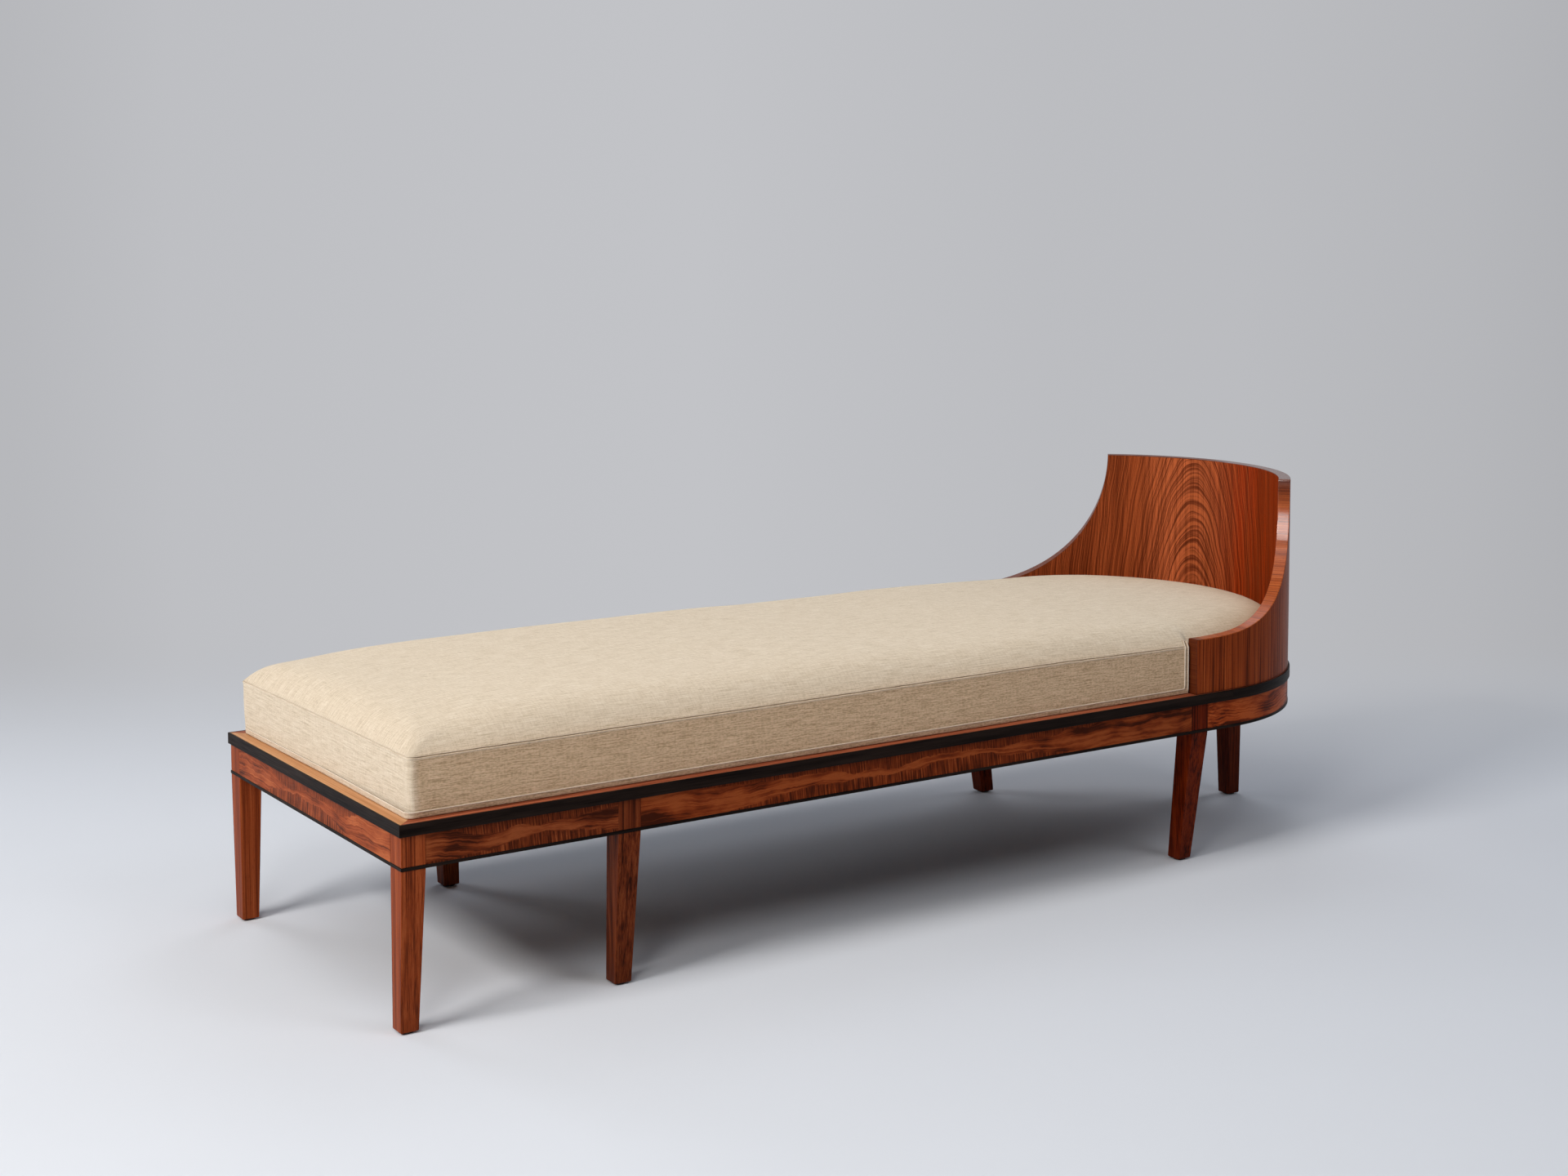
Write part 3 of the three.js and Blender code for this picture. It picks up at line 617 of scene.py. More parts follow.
# Tone of each leg's rosewood: one wood, darkened for the mid, head and rear legs as painted shade,
# with less contrast in those shaded legs
LEG_SHADE_TONES = {
    "foot": (1.0, 0.98, 1.0),
    "mid": (0.52, 0.50, 0.52),
    "head": (0.46, 0.24, 0.10),
    "rear": (0.40, 0.26, 0.18),
}
LEGS = ("foot_near", "foot_far", "mid_near", "mid_far", "head_near", "head_far", "rear")
lit_and_shaded_leg_wood = {
    place: straight_wood(
        "rosewood_legs_shade_" + place,
        grain_upright,
        1.0,
        tone,
        sizes=(10 * MM, 3.2 * MM, 1.2 * MM),
        weights=(0.3, 0.36, 0.34),
        contrast=(0.36, 0.49, 0.64) if place == "foot" else (0.41, 0.5, 0.59),
    )
    for place, tone in LEG_SHADE_TONES.items()
}
for place in LEGS:
    bevelled("leg_" + place, "rosewood", lit_and_shaded_leg_wood[place.split("_")[0]], LEG_BEVEL)

felt_finish = felt("felt_glides")
for place in LEGS:
    bevelled("glide_" + place, "felt", felt_finish, GLIDE_BEVEL)

# How far the long grain reaches, by share of the rail's length
BAY_REACH = [(0.0, 1.0), (0.16, 0.85), (0.34, 0.35), (0.62, 0.18), (0.82, 0.42), (1.0, 0.8)]
LONG_BAY_REACH = [(0.0, 0.95), (0.12, 0.8), (0.24, 0.4), (0.4, 0.15), (0.58, 0.2)]
LONG_BAY_REACH += [(0.72, 0.55), (0.84, 1.0), (1.0, 1.0)]
FOOT_REACH = [(0.0, 1.0), (0.22, 0.9), (0.36, 0.25), (0.64, 0.1), (0.78, 0.8), (1.0, 1.0)]
BOW_REACH = [(0.0, 1.0), (0.14, 0.8), (0.3, 0.5), (0.5, 0.3), (0.7, 0.5), (1.0, 1.0)]
MID_POST_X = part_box("rail_mid_bay_near")[0].x
HEAD_POST_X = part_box("rail_mid_bay_near")[1].x
BAY_ENDS = (FOOT_X, MID_POST_X)
LONG_BAY_ENDS = (MID_POST_X, HEAD_POST_X)
FOOT_ENDS = (-HALF_WIDTH, HALF_WIDTH)
BOW_ENDS = (0.0, math.pi * HALF_WIDTH)
FOOT_CONTRAST = (0.33, 0.47, 0.62)
bay_wood = apron_wood(
    "rosewood_apron_foot_bay", grain_lengthwise, 1.0, BAY_ENDS, BAY_REACH, (0.7, 0.7, 0.74)
)
long_bay_wood = apron_wood(
    "rosewood_apron_mid_bay", grain_lengthwise, 4.0, LONG_BAY_ENDS, LONG_BAY_REACH, (0.78, 0.7, 0.6)
)
foot_wood = apron_wood(
    "rosewood_apron_foot",
    grain_crosswise,
    8.0,
    FOOT_ENDS,
    FOOT_REACH,
    (1.15, 1.22, 1.35),
    FOOT_CONTRAST,
)
bow_wood = apron_wood(
    "rosewood_apron_bow", grain_bow, 12.0, BOW_ENDS, BOW_REACH, (1.15, 0.95, 0.75)
)
for side in ("near", "far"):
    bevelled("rail_foot_bay_" + side, "rosewood", bay_wood, APRON_BEVEL)
    bevelled("rail_mid_bay_" + side, "rosewood", long_bay_wood, APRON_BEVEL)
    bevelled("rail_bow_" + side, "rosewood", bow_wood, APRON_BEVEL)
bevelled("rail_foot", "rosewood", foot_wood, APRON_BEVEL)

board_wood = straight_wood("rosewood_side_boards", grain_flat_lengthwise, 3.0, (1.15, 1.5, 2.6))
# The foot board's golden colour is painted sheen
foot_board_sheen_wood = straight_wood("rosewood_foot_board_painted_sheen", grain_flat_crosswise, 5.0, colours=GOLDEN_SHEEN)
head_board_wood = straight_wood("rosewood_head_boards", grain_flat_bow, 7.0)
bevelled("top_board_near", "rosewood", board_wood, APRON_BEVEL)
bevelled("top_board_far", "rosewood", board_wood, APRON_BEVEL)
bevelled("top_board_foot", "rosewood", foot_board_sheen_wood, APRON_BEVEL)
for i in (1, 2, 3):
    bevelled(f"top_board_head_{i}", "rosewood", head_board_wood, APRON_BEVEL)

black = {
    "near": ebonised("ebonised_side", grain_lengthwise),
    "foot": ebonised("ebonised_foot", grain_crosswise),
    "head": ebonised("ebonised_head", grain_bow),
}
black["far"] = black["near"]
for side, finish in black.items():
    bevelled("band_" + side, "ebonised", finish, BAND_BEVEL)
    bevelled("strip_" + side, "ebonised", finish, BAND_BEVEL)


# Inner frame and deck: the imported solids, with wood of their own
def repaint(node, material):
    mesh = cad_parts[node].data
    mesh.materials.clear()
    mesh.materials.append(material)


# Dark tone, light tone, grain sizes and roughness
BEECH = ((0.42, 0.25, 0.11), (0.66, 0.44, 0.23), (30 * MM, 9 * MM, 2 * MM), 0.62)
# The deck's dark tone is painted shade for the floor under the bed: it bounces little light there
DECK_DARK_FOR_SHADE = ((0.06, 0.042, 0.032), (0.105, 0.074, 0.055), (60 * MM, 18 * MM, 3 * MM), 0.7)
beech_long = plain_wood("beech_lengthwise", grain_lengthwise, *BEECH)
beech_across = plain_wood("beech_crosswise", grain_crosswise, *BEECH)
deck_wood_dark_for_shade = plain_wood("plywood_deck_dark_for_shade", grain_flat_lengthwise, *DECK_DARK_FOR_SHADE)
for side in ("near", "far"):
    for name in ("corner_block", "cleat_foot_bay", "cleat_mid_bay", "glue_block_1", "glue_block_2"):
        repaint(f"{name}_{side}", beech_long)
for name in ("cross_rail_mid", "cross_rail_head", "cleat_foot"):
    repaint(name, beech_across)
repaint("bearer_head", beech_long)
repaint("deck_main", deck_wood_dark_for_shade)
repaint("deck_head", deck_wood_dark_for_shade)


# Headboard: a flat panel with rounded edges, cut into narrow strips and bent


def shell_height(run):
    share = min(run / SWOOP_LENGTH, 1.0)
    rise = (1 - share**SWOOP_RUN_POWER) ** (1 / SWOOP_RISE_POWER)
    return SHELL_TOP - (SHELL_TOP - ARM_TOP) * rise


def panel_outline():
    """The flat panel's outline as (run, height), counterclockwise."""
    turns = [math.pi / 2 * i / SWOOP_STEPS for i in range(SWOOP_STEPS + 1)]
    runs = [SWOOP_LENGTH * math.sin(t) ** (2 / SWOOP_RUN_POWER) for t in turns]
    swoop = [(run, shell_height(run)) for run in runs]
    far_swoop = [(SHELL_LENGTH - run, z) for run, z in swoop]
    return [(0.0, FRAME_TOP), (SHELL_LENGTH, FRAME_TOP), *far_swoop, *reversed(swoop)]


def inset_outline(outline, distance):
    """The outline moved inwards by a distance, with mitred corners."""
    points = [Vector(p) for p in outline]
    moved = []
    for i, here in enumerate(points):
        before = (here - points[i - 1]).normalized()
        after = (points[(i + 1) % len(points)] - here).normalized()
        inward = Vector((-before.y, before.x)) + Vector((-after.y, after.x))
        inward.normalize()
        cosine = max(inward.dot(Vector((-after.y, after.x))), LEAST_MITRE)
        moved.append(here + inward * distance / cosine)
    return moved


def bend_panel(run, depth, z):
    radius = SHELL_OUTER - depth
    if run < ARM_RUN:
        return Vector((ARM_X + run, -radius, z))
    if run > SHELL_LENGTH - ARM_RUN:
        return Vector((ARM_X + SHELL_LENGTH - run, radius, z))
    angle = (run - ARM_RUN) / SHELL_OUTER - math.pi / 2
    return Vector((HEAD_X + radius * math.cos(angle), radius * math.sin(angle), z))


def headboard():
    outline = panel_outline()
    count = len(outline)
    runs = [0.0]
    for a, b in zip(outline, outline[1:]):
        runs.append(runs[-1] + math.dist(a, b))
    runs[0] = runs[-1] + math.dist(outline[-1], outline[0])
    fronts = [float(min(x, SHELL_LENGTH - x) < MM) for x, _ in outline]
    caps = [float(z > SHELL_TOP - 0.1 * MM) for _, z in outline]
    turns = [math.radians(t) for t in (0, 30, 60, 90)]
    curve = [(EDGE_ROUND * (1 - math.sin(t)), EDGE_ROUND * (1 - math.cos(t))) for t in turns]
    rings = curve + [(inset, SHELL_THICKNESS - depth) for inset, depth in reversed(curve)]
    tool = bmesh.new()
    edge_layer = tool.verts.layers.float_vector.new("edge")
    panel_layer = tool.verts.layers.float_vector.new("panel")
    levels = []
    for inset, depth in rings:
        level = []
        for point, *marks in zip(inset_outline(outline, inset), runs, fronts, caps):
            vertex = tool.verts.new((point.x, depth, point.y))
            vertex[edge_layer] = marks
            level.append(vertex)
        levels.append(level)
    outer = tool.faces.new(levels[0])
    inner = tool.faces.new(reversed(levels[-1]))
    outer.material_index, inner.material_index = 0, 1
    for lower, upper in zip(levels, levels[1:]):
        for i in range(count):
            j = (i + 1) % count
            face = tool.faces.new((lower[j], lower[i], upper[i], upper[j]))
            face.material_index = 2
    for i in range(1, int(SHELL_LENGTH / STRIP_WIDTH) + 1):
        geometry = tool.verts[:] + tool.edges[:] + tool.faces[:]
        cut = Vector((i * STRIP_WIDTH, 0.0, 0.0))
        bmesh.ops.bisect_plane(tool, geom=geometry, dist=1e-7, plane_co=cut, plane_no=(1, 0, 0))
    for vertex in tool.verts:
        run, depth, z = vertex.co
        vertex[panel_layer] = (run - SHELL_LENGTH / 2, z, depth)
        vertex.co = bend_panel(run, depth, z)
    bmesh.ops.recalc_face_normals(tool, faces=tool.faces)
    for face in tool.faces:
        face.smooth = True
    mesh = bpy.data.meshes.new("headboard_panel")
    tool.to_mesh(mesh)
    tool.free()
    piece = link(bpy.data.objects.new("headboard_panel", mesh))
    weight = piece.modifiers.new("flat_faces", "WEIGHTED_NORMAL")
    weight.weight = 80
    weight.keep_sharp = True
    return piece


inside_veneer = flame_wood("headboard_inside")
outside_veneer = straight_wood(
    "headboard_outside",
    grain_panel,
    9.0,
    (0.95, 0.82, 0.62),
    sizes=(24 * MM, 3.6 * MM, 2.1 * MM),
    weights=(0.18, 0.48, 0.34),
)
edge_veneer = edge_wood("headboard_edge")
dress(headboard(), "headboard_veneer", [outside_veneer, inside_veneer, edge_veneer], "headboard")


# Pad: a boxed border, a seam and a crowned top, in rings round the pad

# Points of half a ring: along the foot, round the corner, along the side and
# closer together by the arm
FOOT_POINTS = 34
CORNER_POINTS = 12
SIDE_POINTS = 169
ARM_POINTS = 12
HEAD_POINTS = 12
ARC_POINTS = 60
SIDE_SHARE = 0.96
CORNER_SHARE = 0.96
NOTCH_HALF = 1.1 * MM


def pad_half_plan(inset, draw):
    """Half of one ring of the pad, from the middle of the foot to the head."""
    side = PAD_HALF - inset
    radius = np.minimum(PAD_CORNER + CORNER_GROWTH * inset, side * CORNER_SHARE)
    start = PAD_FOOT_X + inset
    across = np.linspace(0, 1, FOOT_POINTS, endpoint=False)
    foot = np.stack([start + draw * (1 - across**2), (side - radius) * across])
    turn = np.linspace(0, math.pi / 2, CORNER_POINTS)
    corner = np.stack([start + radius * (1 - np.cos(turn)), side - radius + radius * np.sin(turn)])
    even = np.linspace(0, SIDE_SHARE, SIDE_POINTS + 1)[1:]
    close = np.linspace(SIDE_SHARE, 1, ARM_POINTS + 2)[1:-1]
    long_x = start + radius + (PAD_NOTCH_X - start - radius) * np.concatenate([even, close])
    step = PAD_STEP * max(1 - inset / PAD_SHOULDER, 0) ** 2
    head_radius = side - step
    notch_x = PAD_NOTCH_X - 2 * NOTCH_HALF * (1 - np.sin(np.linspace(0, math.pi / 2, 5)))
    x = np.concatenate([long_x, notch_x, np.linspace(PAD_NOTCH_X, HEAD_X, HEAD_POINTS)[1:-1]])
    reach = NOTCH_HALF + 0.4 * inset
    eased = np.clip((x - PAD_NOTCH_X + NOTCH_HALF) / reach / 2 + 0.5, 0, 1)
    bow = np.clip((x - start - radius) / (PAD_NOTCH_X - start - radius), 0, 1)
    y = side - draw * (1 - (2 * bow - 1) ** 2) - step * eased * eased * (3 - 2 * eased)
    turn = np.linspace(math.pi / 2, 0, ARC_POINTS)
    arc = np.stack([HEAD_X + head_radius * np.cos(turn), head_radius * np.sin(turn)])
    return np.concatenate([foot, corner, np.stack([x, y]), arc], axis=1)


def pad_plan(inset, draw=0.0):
    half = pad_half_plan(inset, draw)
    other = half[:, -2:0:-1] * np.array([[1.0], [-1.0]])
    return np.concatenate([half, other], axis=1)


def crown_share(inset):
    return 1 - (1 - np.minimum(inset / PAD_SHOULDER, 1)) ** CROWN_POWER


def pad_top(x, inset):
    sink = HEAD_DROP * np.clip((x - HALF_LENGTH) / HEAD_DROP_RUN + 1, 0, 1)
    rise = crown_share(max(inset, 0.0))
    seam = FRAME_TOP + SEAM_HEIGHT
    return seam + PAD_CROWN * rise - sink * (SEAM_DROP_SHARE + (1 - SEAM_DROP_SHARE) * rise)


def ripple(run, lengths, phase=0.0):
    """Smooth unevenness from -1 to 1 along a run, from a few wavelengths."""
    total = sum(np.sin(2 * math.pi * run / w + phase + 1.7 * i) for i, w in enumerate(lengths))
    return total / len(lengths)


# Where along the bed the crown lies above or below an even one, and how far
# in millimetres
LEVEL_PLACES = (-0.97, -0.95, -0.93, -0.898, -0.87, -0.82, -0.715, -0.555)
LEVEL_PLACES += (-0.388, -0.213, -0.1, -0.034, 0.158, 0.357, 0.564, 0.8)
LEVEL_OFFSETS = (-3, -7, -9, -7, -3.5, 0, 3.2, 3.2, 2.6, 1.8, 0, -2.6, -4.2, -2, -2.4, 0)
FOOT_SKEW = 3.3 * MM
FOOT_BULGE = 3.3 * MM
FOOT_LEAN_RUN = 200 * MM


def crown_level(x, y):
    """Slow unevenness of the top: softer corners at the foot, then a low wave."""
    grid = np.linspace(-1.1, 1.1, 441)
    table = np.interp(grid, LEVEL_PLACES, LEVEL_OFFSETS)
    kernel = np.exp(-0.5 * (np.arange(-12, 13) / 3.2) ** 2)
    table = np.convolve(table, kernel / kernel.sum(), "same")
    corner = 0.35 + 0.65 * np.clip(np.abs(y) / 0.28, 0, 1) ** 2
    foot = np.clip((-0.8 - x) / 0.05, 0, 1)
    return np.interp(x, grid, table) * MM * (1 - foot + foot * corner)


def foot_lean(x, y, height):
    """How far the foot end leans out, more at the far corner and higher up."""
    lift = np.sin(np.clip(1.4 * height / SEAM_HEIGHT, 0, 1) * math.pi / 2)
    foot = np.clip(1 - (x - PAD_FOOT_X) / FOOT_LEAN_RUN, 0, 1) ** 2
    return foot * (FOOT_SKEW * y / PAD_HALF + FOOT_BULGE * lift)


# Rings of the pad from the bottom up, in millimetres. Border: height, how far
# out, and share of the draw-in.
BORDER = [
    (0.5, -30, 0), (0.2, -9, 0), (0.3, -4, 0), (0.5, -1.6, 0), (1.2, -0.5, 0), (2.4, 0, 0),
    (5, 0, 0.1), (9, 0, 0.2), (14, 0, 0.35), (20, 0, 0.5), (28, 0, 0.7), (37, 0, 0.9),
    (46, 0, 1), (55, 0, 1), (63, 0, 1), (70, 0, 1), (76, 0, 1), (81, 0, 1), (85, 0.05, 1),
]  # fmt: skip
# Seam: height from it, how far out, painted crease shade and painted ridge highlight
SEAM = [
    (-5, 0.1, 0, 0), (-3.2, 0.25, 0, 0.1), (-2.1, 0.6, 0, 0.4), (-1.3, 0.95, 0, 0.6),
    (-0.7, 0.95, 0, 0.5), (-0.2, 0.35, 0.1, 0.1), (0.15, -1.1, 0.8, 0),
]  # fmt: skip
# Top: inset of each ring, and the lift and painted crease shade of the first few
TOP_INSETS = [0.5, 0.1, 0.4, 1.2, 2.3, 3.8, 5.8, 8.2, 11, 14.5, 18.5, 23, 28, 34, 41, 49, 58]
TOP_INSETS += [68, 79, 91, 104, 118, 133, 149, 166, 184, 203, 223, 243, 263, 283, 303, 319, 330]
TOP_LIFTS = [0.35, 0.9, 1.0]
TOP_CREASE_SHADES = [1.0, 0.95, 0.35, 0.05]
LIFT_REACH = 4 * MM
SEAM_REACH = 9 * MM


def pad_rings():
    """Each ring: its points, their place on the cloth, painted side shade, painted crease shade,
    painted ridge highlight and painted shade by the headboard.
    """
    plan = pad_plan(0.0)
    hops = np.hypot(*np.diff(np.concatenate([plan, plan[:, :1]], axis=1)))
    run = np.concatenate([[0.0], np.cumsum(hops)[:-1]])
    run = np.where(run > run[-1] / 2, run - np.sum(hops), run)
    pucker = ripple(run, (0.0231, 0.0377, 0.0613))
    slow = ripple(run, (0.41, 0.67, 0.97), 0.6)
    seam_wave = 0.35 * MM * pucker + 0.4 * MM * slow
    side = np.clip((plan[0] - PAD_FOOT_X - 4 * MM) / (9 * MM), 0, 1)
    rings = []

    def add(x, y, z, along, across, side_shade, crease_shade, ridge_highlight, dusk=0.0):
        x = x - foot_lean(x, y, z - PAD_BOTTOM)
        full = np.ones_like(x)
        # Painted crease shade and ridge highlight are fainter on the foot end, which faces the lamp
        painted_shading = 0.35 + 0.65 * side
        painted_seam_shading = (crease_shade * painted_shading, ridge_highlight * painted_shading, dusk * full)
        rings.append((x, y, z, along, across, side_shade * full, *painted_seam_shading))

    for height, out, draw in BORDER:
        x, y = pad_plan(-out * MM, PAD_DRAW_IN * draw)
        top = pad_top(x, 0.0)
        z = PAD_BOTTOM + (top - PAD_BOTTOM) * (height * MM / SEAM_HEIGHT)
        # Painted shade along the foot of the border, where it sits on the ledge
        add(x, y, z, run, z, side, 0.7 if height < 2 else 0.0, 0.0)
    for height, out, crease_shade, ridge_highlight in SEAM:
        x, y = pad_plan(-out * MM, PAD_DRAW_IN)
        z = pad_top(x, 0.0) + height * MM + seam_wave
        add(x, y, z, run, z, side, crease_shade, ridge_highlight)
    for i, inset in enumerate(TOP_INSETS):
        inset *= MM
        x, y = pad_plan(inset, PAD_DRAW_IN * max(1 - inset / PAD_SHOULDER, 0))
        lift = TOP_LIFTS[i] if i < len(TOP_LIFTS) else 0.6 * math.exp(-inset / LIFT_REACH)
        crease_shade = TOP_CREASE_SHADES[i] if i < len(TOP_CREASE_SHADES) else 0.0
        fade = math.exp(-inset / SEAM_REACH)
        swell = math.exp(-(((inset / MM - 30) / 26) ** 2))
        share = crown_share(inset)
        z = pad_top(x, inset) + lift * MM + seam_wave * fade + 0.3 * MM * swell * pucker
        z = z + 0.7 * MM * share * ripple(x + 0.6 * y, (0.53, 0.31, 0.87))
        z = z + 0.5 * MM * share * ripple(y - 0.3 * x, (0.29, 0.47), 1.1)
        z = z + share * crown_level(x, y)
        # Painted side shade, reaching a little onto the top by the seam
        side_shade = 0.4 * side * fade
        # Painted shade next to the headboard
        dusk = np.clip((x - ARM_X) / DUSK_RUN, 0, 1) * math.exp(-inset / DUSK_REACH)
        hop_x, hop_y = (np.roll(v, -1) - np.roll(v, 1) for v in (x, y))
        drop = (pad_top(x, PAD_SHOULDER) - z) / np.hypot(hop_x, hop_y)
        along, across = x - hop_y * drop, y + hop_x * drop
        add(x, y, z, along, across, side_shade, crease_shade, 0.0, dusk)
    return rings


def store(mesh, name, values):
    layer = mesh.attributes.new(name, "FLOAT_VECTOR", "POINT")
    layer.data.foreach_set("vector", np.asarray(values, np.float32).ravel())


def turn_outwards(mesh):
    tool = bmesh.new()
    tool.from_mesh(mesh)
    bmesh.ops.recalc_face_normals(tool, faces=tool.faces)
    tool.to_mesh(mesh)
    tool.free()


def ring_mesh(name, rings):
    """Closed mesh over rings that mirror themselves, capped across by quads."""
    count = len(rings[0][0])
    table = np.concatenate([np.stack(ring, 1) for ring in rings])
    faces = []
    for level in range(len(rings) - 1):
        base = level * count
        for i in range(count):
            j = (i + 1) % count
            faces.append((base + i, base + j, base + count + j, base + count + i))
    last = (len(rings) - 1) * count
    half = count // 2
    for base, turned in ((0, True), (last, False)):
        cap = [(0, 1, count - 1)]
        cap += [(i, i + 1, count - i - 1, count - i) for i in range(1, half - 1)]
        cap.append((half - 1, half, half + 1))
        for face in cap:
            face = tuple(base + v for v in face)
            faces.append(face[::-1] if turned else face)
    piece = mesh_object(name, table[:, :3], faces)
    store(piece.data, "cloth", table[:, 3:6])
    store(piece.data, "seam", table[:, 6:9])
    turn_outwards(piece.data)
    return piece


linen_finish = linen("linen_twill")
pad = ring_mesh("pad_cushion", pad_rings())
smooth = pad.modifiers.new("fine_surface", "SUBSURF")
smooth.levels = smooth.render_levels = 1
dress(pad, "linen", [linen_finish], "pad")


# Hem: a tape round the foot of the border with a raised inner edge, which
# turns up in front of each arm and ends over the seam
HEM_STEPS = 190
TURN_STEPS = 6
UPRIGHT_STEPS = 26


def border_runs():
    """Half the border's plan, and the run of its points from the foot's middle."""
    plan = pad_half_plan(0.0, 0.0)
    return plan, np.concatenate([[0.0], np.cumsum(np.hypot(*np.diff(plan)))])


def border_point(run, height, out):
    """A point of the pad's border, by its run from the foot's middle."""
    plan, runs = border_runs()
    x, y = (np.interp(run, runs, part) for part in plan)
    tx, ty = (np.interp(run, runs, np.gradient(part, runs)) for part in plan)
    length = math.hypot(tx, ty)
    normal = (-ty / length, tx / length)
    seam = float(pad_top(x, 0.0)) - PAD_BOTTOM
    inset = 0.0
    if height > seam:
        rise = min((height - seam) / PAD_CROWN, 0.9)
        inset = PAD_SHOULDER * (1 - (1 - rise) ** (1 / CROWN_POWER))
    inward = out - inset
    x, y = x + normal[0] * inward, y + normal[1] * inward
    return Vector((x - float(foot_lean(x, y, height)), y, PAD_BOTTOM + height))


def hem_paths():
    """Outer and inner edge of half the tape as (run, height) pairs."""
    side_end = FOOT_POINTS + CORNER_POINTS + SIDE_POINTS + ARM_POINTS
    end = float(border_runs()[1][side_end]) - 1.0 * MM
    top = float(pad_top(PAD_NOTCH_X, 0.0)) - PAD_BOTTOM + HEM_OVER_SEAM
    outer, inner = [], []
    for share in np.linspace(0, 1, HEM_STEPS):
        outer.append((share * end, HEM_LOW))
        inner.append((share * (end - HEM_WIDTH - HEM_TURN), HEM_WIDTH))
    for angle in np.linspace(0, math.pi / 2, TURN_STEPS)[1:]:
        outer.append((end, HEM_LOW + 0.5 * MM * angle))
        run = end - HEM_WIDTH - HEM_TURN * (1 - math.sin(angle))
        inner.append((run, HEM_WIDTH + HEM_TURN * (1 - math.cos(angle))))
    low, foot = 1.2 * MM, HEM_WIDTH + HEM_TURN
    for share in np.linspace(0, 1, UPRIGHT_STEPS)[1:]:
        outer.append((end, low + (top - low) * share))
        lean = 1.2 * MM * max(share - 0.8, 0) / 0.2
        inner.append((end - HEM_WIDTH + lean, foot + (top + 1.5 * MM - foot) * share))
    return outer, inner


# Profile across the tape: share of its width, how far it stands out, and its painted crease shade
# and painted ridge highlight
HEM_PROFILE = [
    (0.0, -1.0, 0.5, 0), (0.02, 0.3, 0.4, 0), (0.12, 0.75, 0, 0), (0.4, 0.8, 0, 0),
    (0.7, 0.8, 0, 0), (0.84, 0.95, 0, 0.2), (0.91, 1.5, 0, 0.9), (0.96, 1.75, 0, 1),
    (1.01, 1.5, 0, 0.7), (1.05, 0.7, 0.9, 0), (1.06, -1.0, 1, 0),
]  # fmt: skip
# The same for the uprights in front of the arms, which have a ridge on each side
UPRIGHT_PROFILE = [
    (0.0, -1.0, 0.3, 0), (0.04, 1.5, 0, 0.6), (0.14, 2.2, 0, 1), (0.26, 1.6, 0, 0.6),
    (0.44, 0.5, 0.7, 0), (0.66, 0.5, 0.6, 0), (0.8, 1.6, 0, 0.8), (0.9, 2.3, 0, 1),
    (0.98, 1.7, 0, 0.8), (1.05, 0.6, 0.8, 0), (1.06, -1.0, 1, 0),
]  # fmt: skip


def hem_tape():
    outer, inner = hem_paths()
    loops, cloth, marks = [], [], []
    for (run_a, height_a), (run_b, height_b) in zip(outer, inner):
        loop, parts, painted_shading = [], [], []
        upright = min(max((height_b - HEM_WIDTH - 2 * MM) / (6 * MM), 0.0), 1.0)
        for flat, raised in zip(HEM_PROFILE, UPRIGHT_PROFILE):
            share, out, crease_shade, ridge_highlight = (a + (b - a) * upright for a, b in zip(flat, raised))
            run = run_a + (run_b - run_a) * share
            height = height_a + (height_b - height_a) * share
            wobble = 0.12 * MM * math.sin(run / 0.011) + 0.1 * MM * math.sin(run / 0.0237)
            loop.append(border_point(run, height, out * MM + wobble * (out > 1)))
            # Painted side shade on the tape, lighter on its raised inner edge
            side_shade = min(max((run - PAD_HALF) / (12 * MM), 0.0), 1.0)
            parts.append((run, height, side_shade * (1.15 if share < 0.8 else 0.8)))
            painted_shading.append((crease_shade, ridge_highlight, 0.0))
        loops.append(loop)
        cloth.append(parts)
        marks.append(painted_shading)
    loops = [[Vector((p.x, -p.y, p.z)) for p in loop] for loop in loops[:0:-1]] + loops
    cloth = [[(-a, b, c) for a, b, c in parts] for parts in cloth[:0:-1]] + cloth
    marks = marks[:0:-1] + marks
    width = len(HEM_PROFILE)
    faces = []
    for i in range(len(loops) - 1):
        for j in range(width):
            k = (j + 1) % width
            faces.append((i * width + j, i * width + k, (i + 1) * width + k, (i + 1) * width + j))
    faces.append(tuple(range(width)))
    faces.append(tuple((len(loops) - 1) * width + j for j in reversed(range(width))))
    piece = mesh_object("pad_hem_tape", [p for loop in loops for p in loop], faces)
    store(piece.data, "cloth", cloth)
    store(piece.data, "seam", marks)
    turn_outwards(piece.data)
    return piece


dress(hem_tape(), "linen", [linen_finish], "pad_hem")


# Camera, fitted to the photo's straight edges
FOCAL_PIXELS = 2877.0
IMAGE_WIDTH = 1920
IMAGE_HEIGHT = 1440
AXIS_ROW = 458.6
SENSOR_WIDTH = 36.0
YAW, PITCH, ROLL = 0.5816, 0.0802, -0.0024
CAMERA_PLACE = (-2.41965, -3.52172, 1.26711)

# Studio: a pale floor that fades into the backdrop's tone behind the bed and far out, a large soft
# lamp beyond the foot end, and a dim cool surround. The backdrop's brightness falls off to the
# sides as seen from the camera: painted falloff of light.
WALL = (0.5395, 0.5457, 0.571)
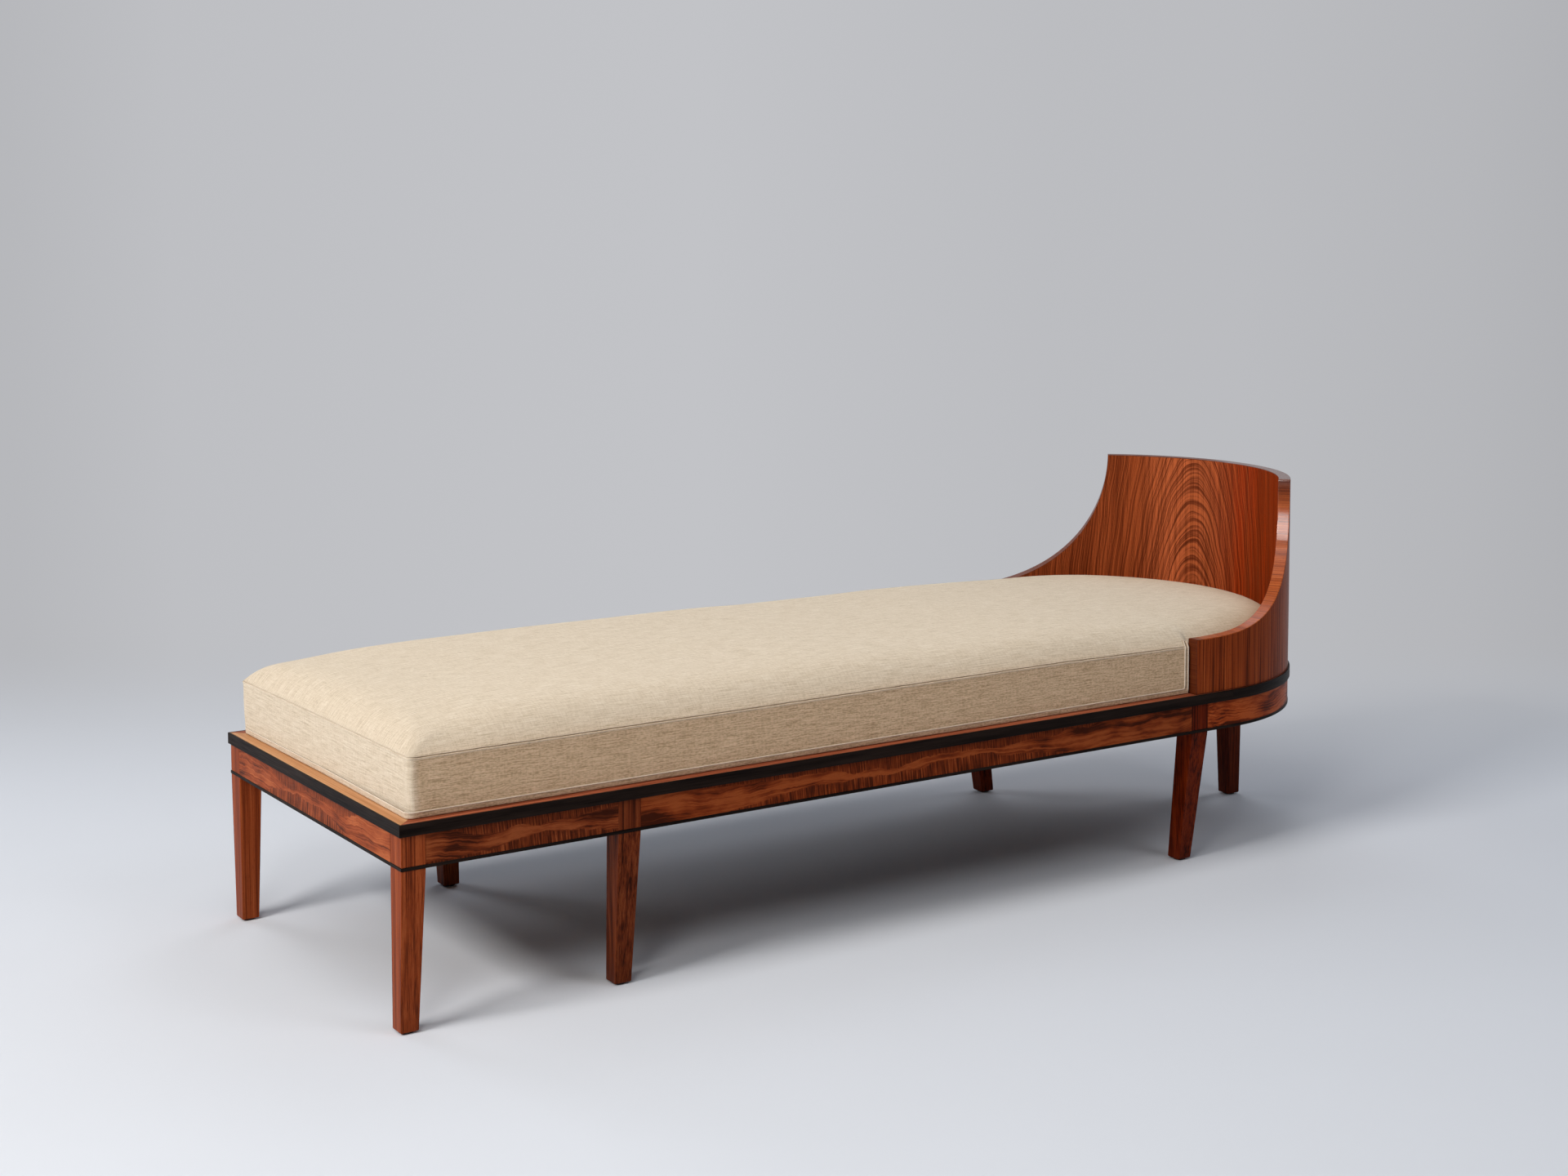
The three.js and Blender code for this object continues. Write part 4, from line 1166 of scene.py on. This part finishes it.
# Painted falloff of light on the backdrop: its brightness by the sideways share of the direction
# from the camera
WALL_FALLOFF = [
    (0.26, 0.877), (0.32, 0.955), (0.45, 0.99), (0.52, 1.0),
    (0.64, 0.93), (0.7, 0.92), (0.76, 0.865), (0.785, 0.82),
]  # fmt: skip
FLOOR = (0.778, 0.786, 0.814)
FLOOR_MOTTLE = (0.6, 0.6, 0.6)
FLOOR_FADE = (0.3, 2.3)
FLOOR_EDGE = (3.2, 6.5)
FLOOR_RADII = (1.5, 3.0, 6.0, 12.0, 40.0)
FLOOR_SIDES = 96
FILL_COLOUR = (0.45, 0.95, 1.6)
FILL_STRENGTH = 0.03


def studio_floor():
    points = [(0.0, 0.0, 0.0)]
    faces = []
    for radius in FLOOR_RADII:
        for i in range(FLOOR_SIDES):
            angle = 2 * math.pi * i / FLOOR_SIDES
            points.append((radius * math.cos(angle), radius * math.sin(angle), 0.0))
    for i in range(FLOOR_SIDES):
        j = (i + 1) % FLOOR_SIDES
        faces.append((0, 1 + i, 1 + j))
        for ring in range(len(FLOOR_RADII) - 1):
            a = 1 + ring * FLOOR_SIDES
            b = a + FLOOR_SIDES
            faces.append((a + i, b + i, b + j, a + j))
    floor = mesh_object("studio_floor", points, faces, smooth=False)
    f = Finish("studio_paper", {"Roughness": 0.85, "Specular IOR Level": 0.2})
    x, y, _ = f.place()
    mottle = f.noise(f.scaled(x, 3.0), f.scaled(y, 3.0), 0.0, 2.0)
    f.finish(f.mix(f.remap(mottle, 0.3, 0.7, 0.0, 0.03), FLOOR, FLOOR_MOTTLE))
    behind = f.blend((x, math.sin(YAW)), (y, math.cos(YAW)))
    behind = f.remap(behind, *FLOOR_FADE, smooth=True)
    outside = f.remap(f.length(x, y), *FLOOR_EDGE, smooth=True)
    fade = f.math("MAXIMUM", behind, outside)
    right, ahead = (f.math("SUBTRACT", v, c) for v, c in zip((x, y), CAMERA_PLACE))
    far = f.math("MAXIMUM", f.length(right, ahead), 0.1)
    tone = f.ramp(f.math("DIVIDE", right, far), WALL_FALLOFF)
    wall = f.add("Emission", {"Color": (*WALL, 1.0), "Strength": tone}).outputs[0]
    blended = f.add("MixShader", {0: fade, 1: f.shader.outputs[0], 2: wall}).outputs[0]
    f.feed(f.tree.nodes["Material Output"].inputs["Surface"], blended)
    floor.data.materials.append(f.material)


def surround():
    """A backdrop for what the camera sees directly, in gloss or through glass."""
    world = bpy.data.worlds.new("studio")
    SCENE.world = world
    world.use_nodes = True
    w = Nodes(world.node_tree)
    fill = w.tree.nodes["Background"]
    fill.inputs["Color"].default_value = (*FILL_COLOUR, 1.0)
    fill.inputs["Strength"].default_value = FILL_STRENGTH
    facing = w.add("TexCoord", {}).outputs["Generated"]
    right, ahead, _ = w.add("SeparateXYZ", {0: facing}).outputs
    tone = w.ramp(right, WALL_FALLOFF)
    seen = w.add("Background", {"Color": (*WALL, 1.0), "Strength": tone}).outputs[0]
    path = w.add("LightPath", {}).outputs
    mirrored = w.math("MULTIPLY", path["Is Glossy Ray"], w.remap(ahead, -0.3, 0.3))
    through = w.math("MAXIMUM", path["Is Camera Ray"], path["Is Transmission Ray"])
    direct = w.math("MAXIMUM", through, mirrored)
    both = w.add("MixShader", {0: direct, 1: fill.outputs[0], 2: seen}).outputs[0]
    w.feed(w.tree.nodes["World Output"].inputs["Surface"], both)


def lamp(name, azimuth, elevation, distance, size, watts, colour):
    """A soft lamp on a sphere round the bed, turned to its middle."""
    data = bpy.data.lights.new(name, "AREA")
    data.shape = "RECTANGLE"
    data.size, data.size_y = size
    data.energy = watts
    data.color = colour
    turn, rise = math.radians(azimuth), math.radians(elevation)
    ray = Vector((math.cos(rise) * math.cos(turn), math.cos(rise) * math.sin(turn), math.sin(rise)))
    obj = link(bpy.data.objects.new(name, data))
    obj.location = Vector((0.0, 0.0, LAMP_AIM)) + ray * distance
    obj.rotation_euler = ray.to_track_quat("Z", "Y").to_euler()


LAMP_AIM = 0.3
KEY_TINT = (1.0, 0.995, 0.985)
COOL_TINT = (0.93, 0.975, 1.05)
# Azimuth and elevation in degrees, distance, size, watts and colour. The last
# lamp stands where the near swoop edge mirrors it to the camera.
LAMPS = {
    "key_softbox": (190, 34, 6.5, (2.2, 1.04), 240, KEY_TINT),
    "high_softbox": (215, 70, 4.2, (2.2, 2.2), 36, KEY_TINT),
    "near_fill": (285, 48, 4.2, (1.3, 1.3), 18, COOL_TINT),
    "far_fill": (50, 46, 4.2, (2.2, 2.2), 27, COOL_TINT),
    "head_fill": (0, 25, 4.2, (1.3, 1.3), 18, COOL_TINT),
    "wall_fill": (120, 25, 4.2, (1.3, 1.3), 20, COOL_TINT),
    "edge_glint": (221.8, 37.2, 4.72, (0.9, 1.8), 33, KEY_TINT),
}

studio_floor()
surround()
for name, how in LAMPS.items():
    lamp(name, *how)

level = Vector((math.sin(YAW), math.cos(YAW), 0.0))
forward = level * math.cos(PITCH) + Vector((0.0, 0.0, -math.sin(PITCH)))
level_right = Vector((math.cos(YAW), -math.sin(YAW), 0.0))
level_up = level_right.cross(forward)
right = level_right * math.cos(ROLL) + level_up * math.sin(ROLL)
up = level_up * math.cos(ROLL) - level_right * math.sin(ROLL)
camera_data = bpy.data.cameras.new("camera")
camera_data.sensor_width = SENSOR_WIDTH
camera_data.lens = FOCAL_PIXELS * SENSOR_WIDTH / IMAGE_WIDTH
camera_data.shift_y = (AXIS_ROW - IMAGE_HEIGHT / 2) / IMAGE_WIDTH
camera = link(bpy.data.objects.new("camera", camera_data))
turned = Matrix((right, up, -forward)).transposed().to_4x4()
camera.matrix_world = Matrix.Translation(CAMERA_PLACE) @ turned
SCENE.camera = camera
SCENE.view_settings.view_transform = "Standard"
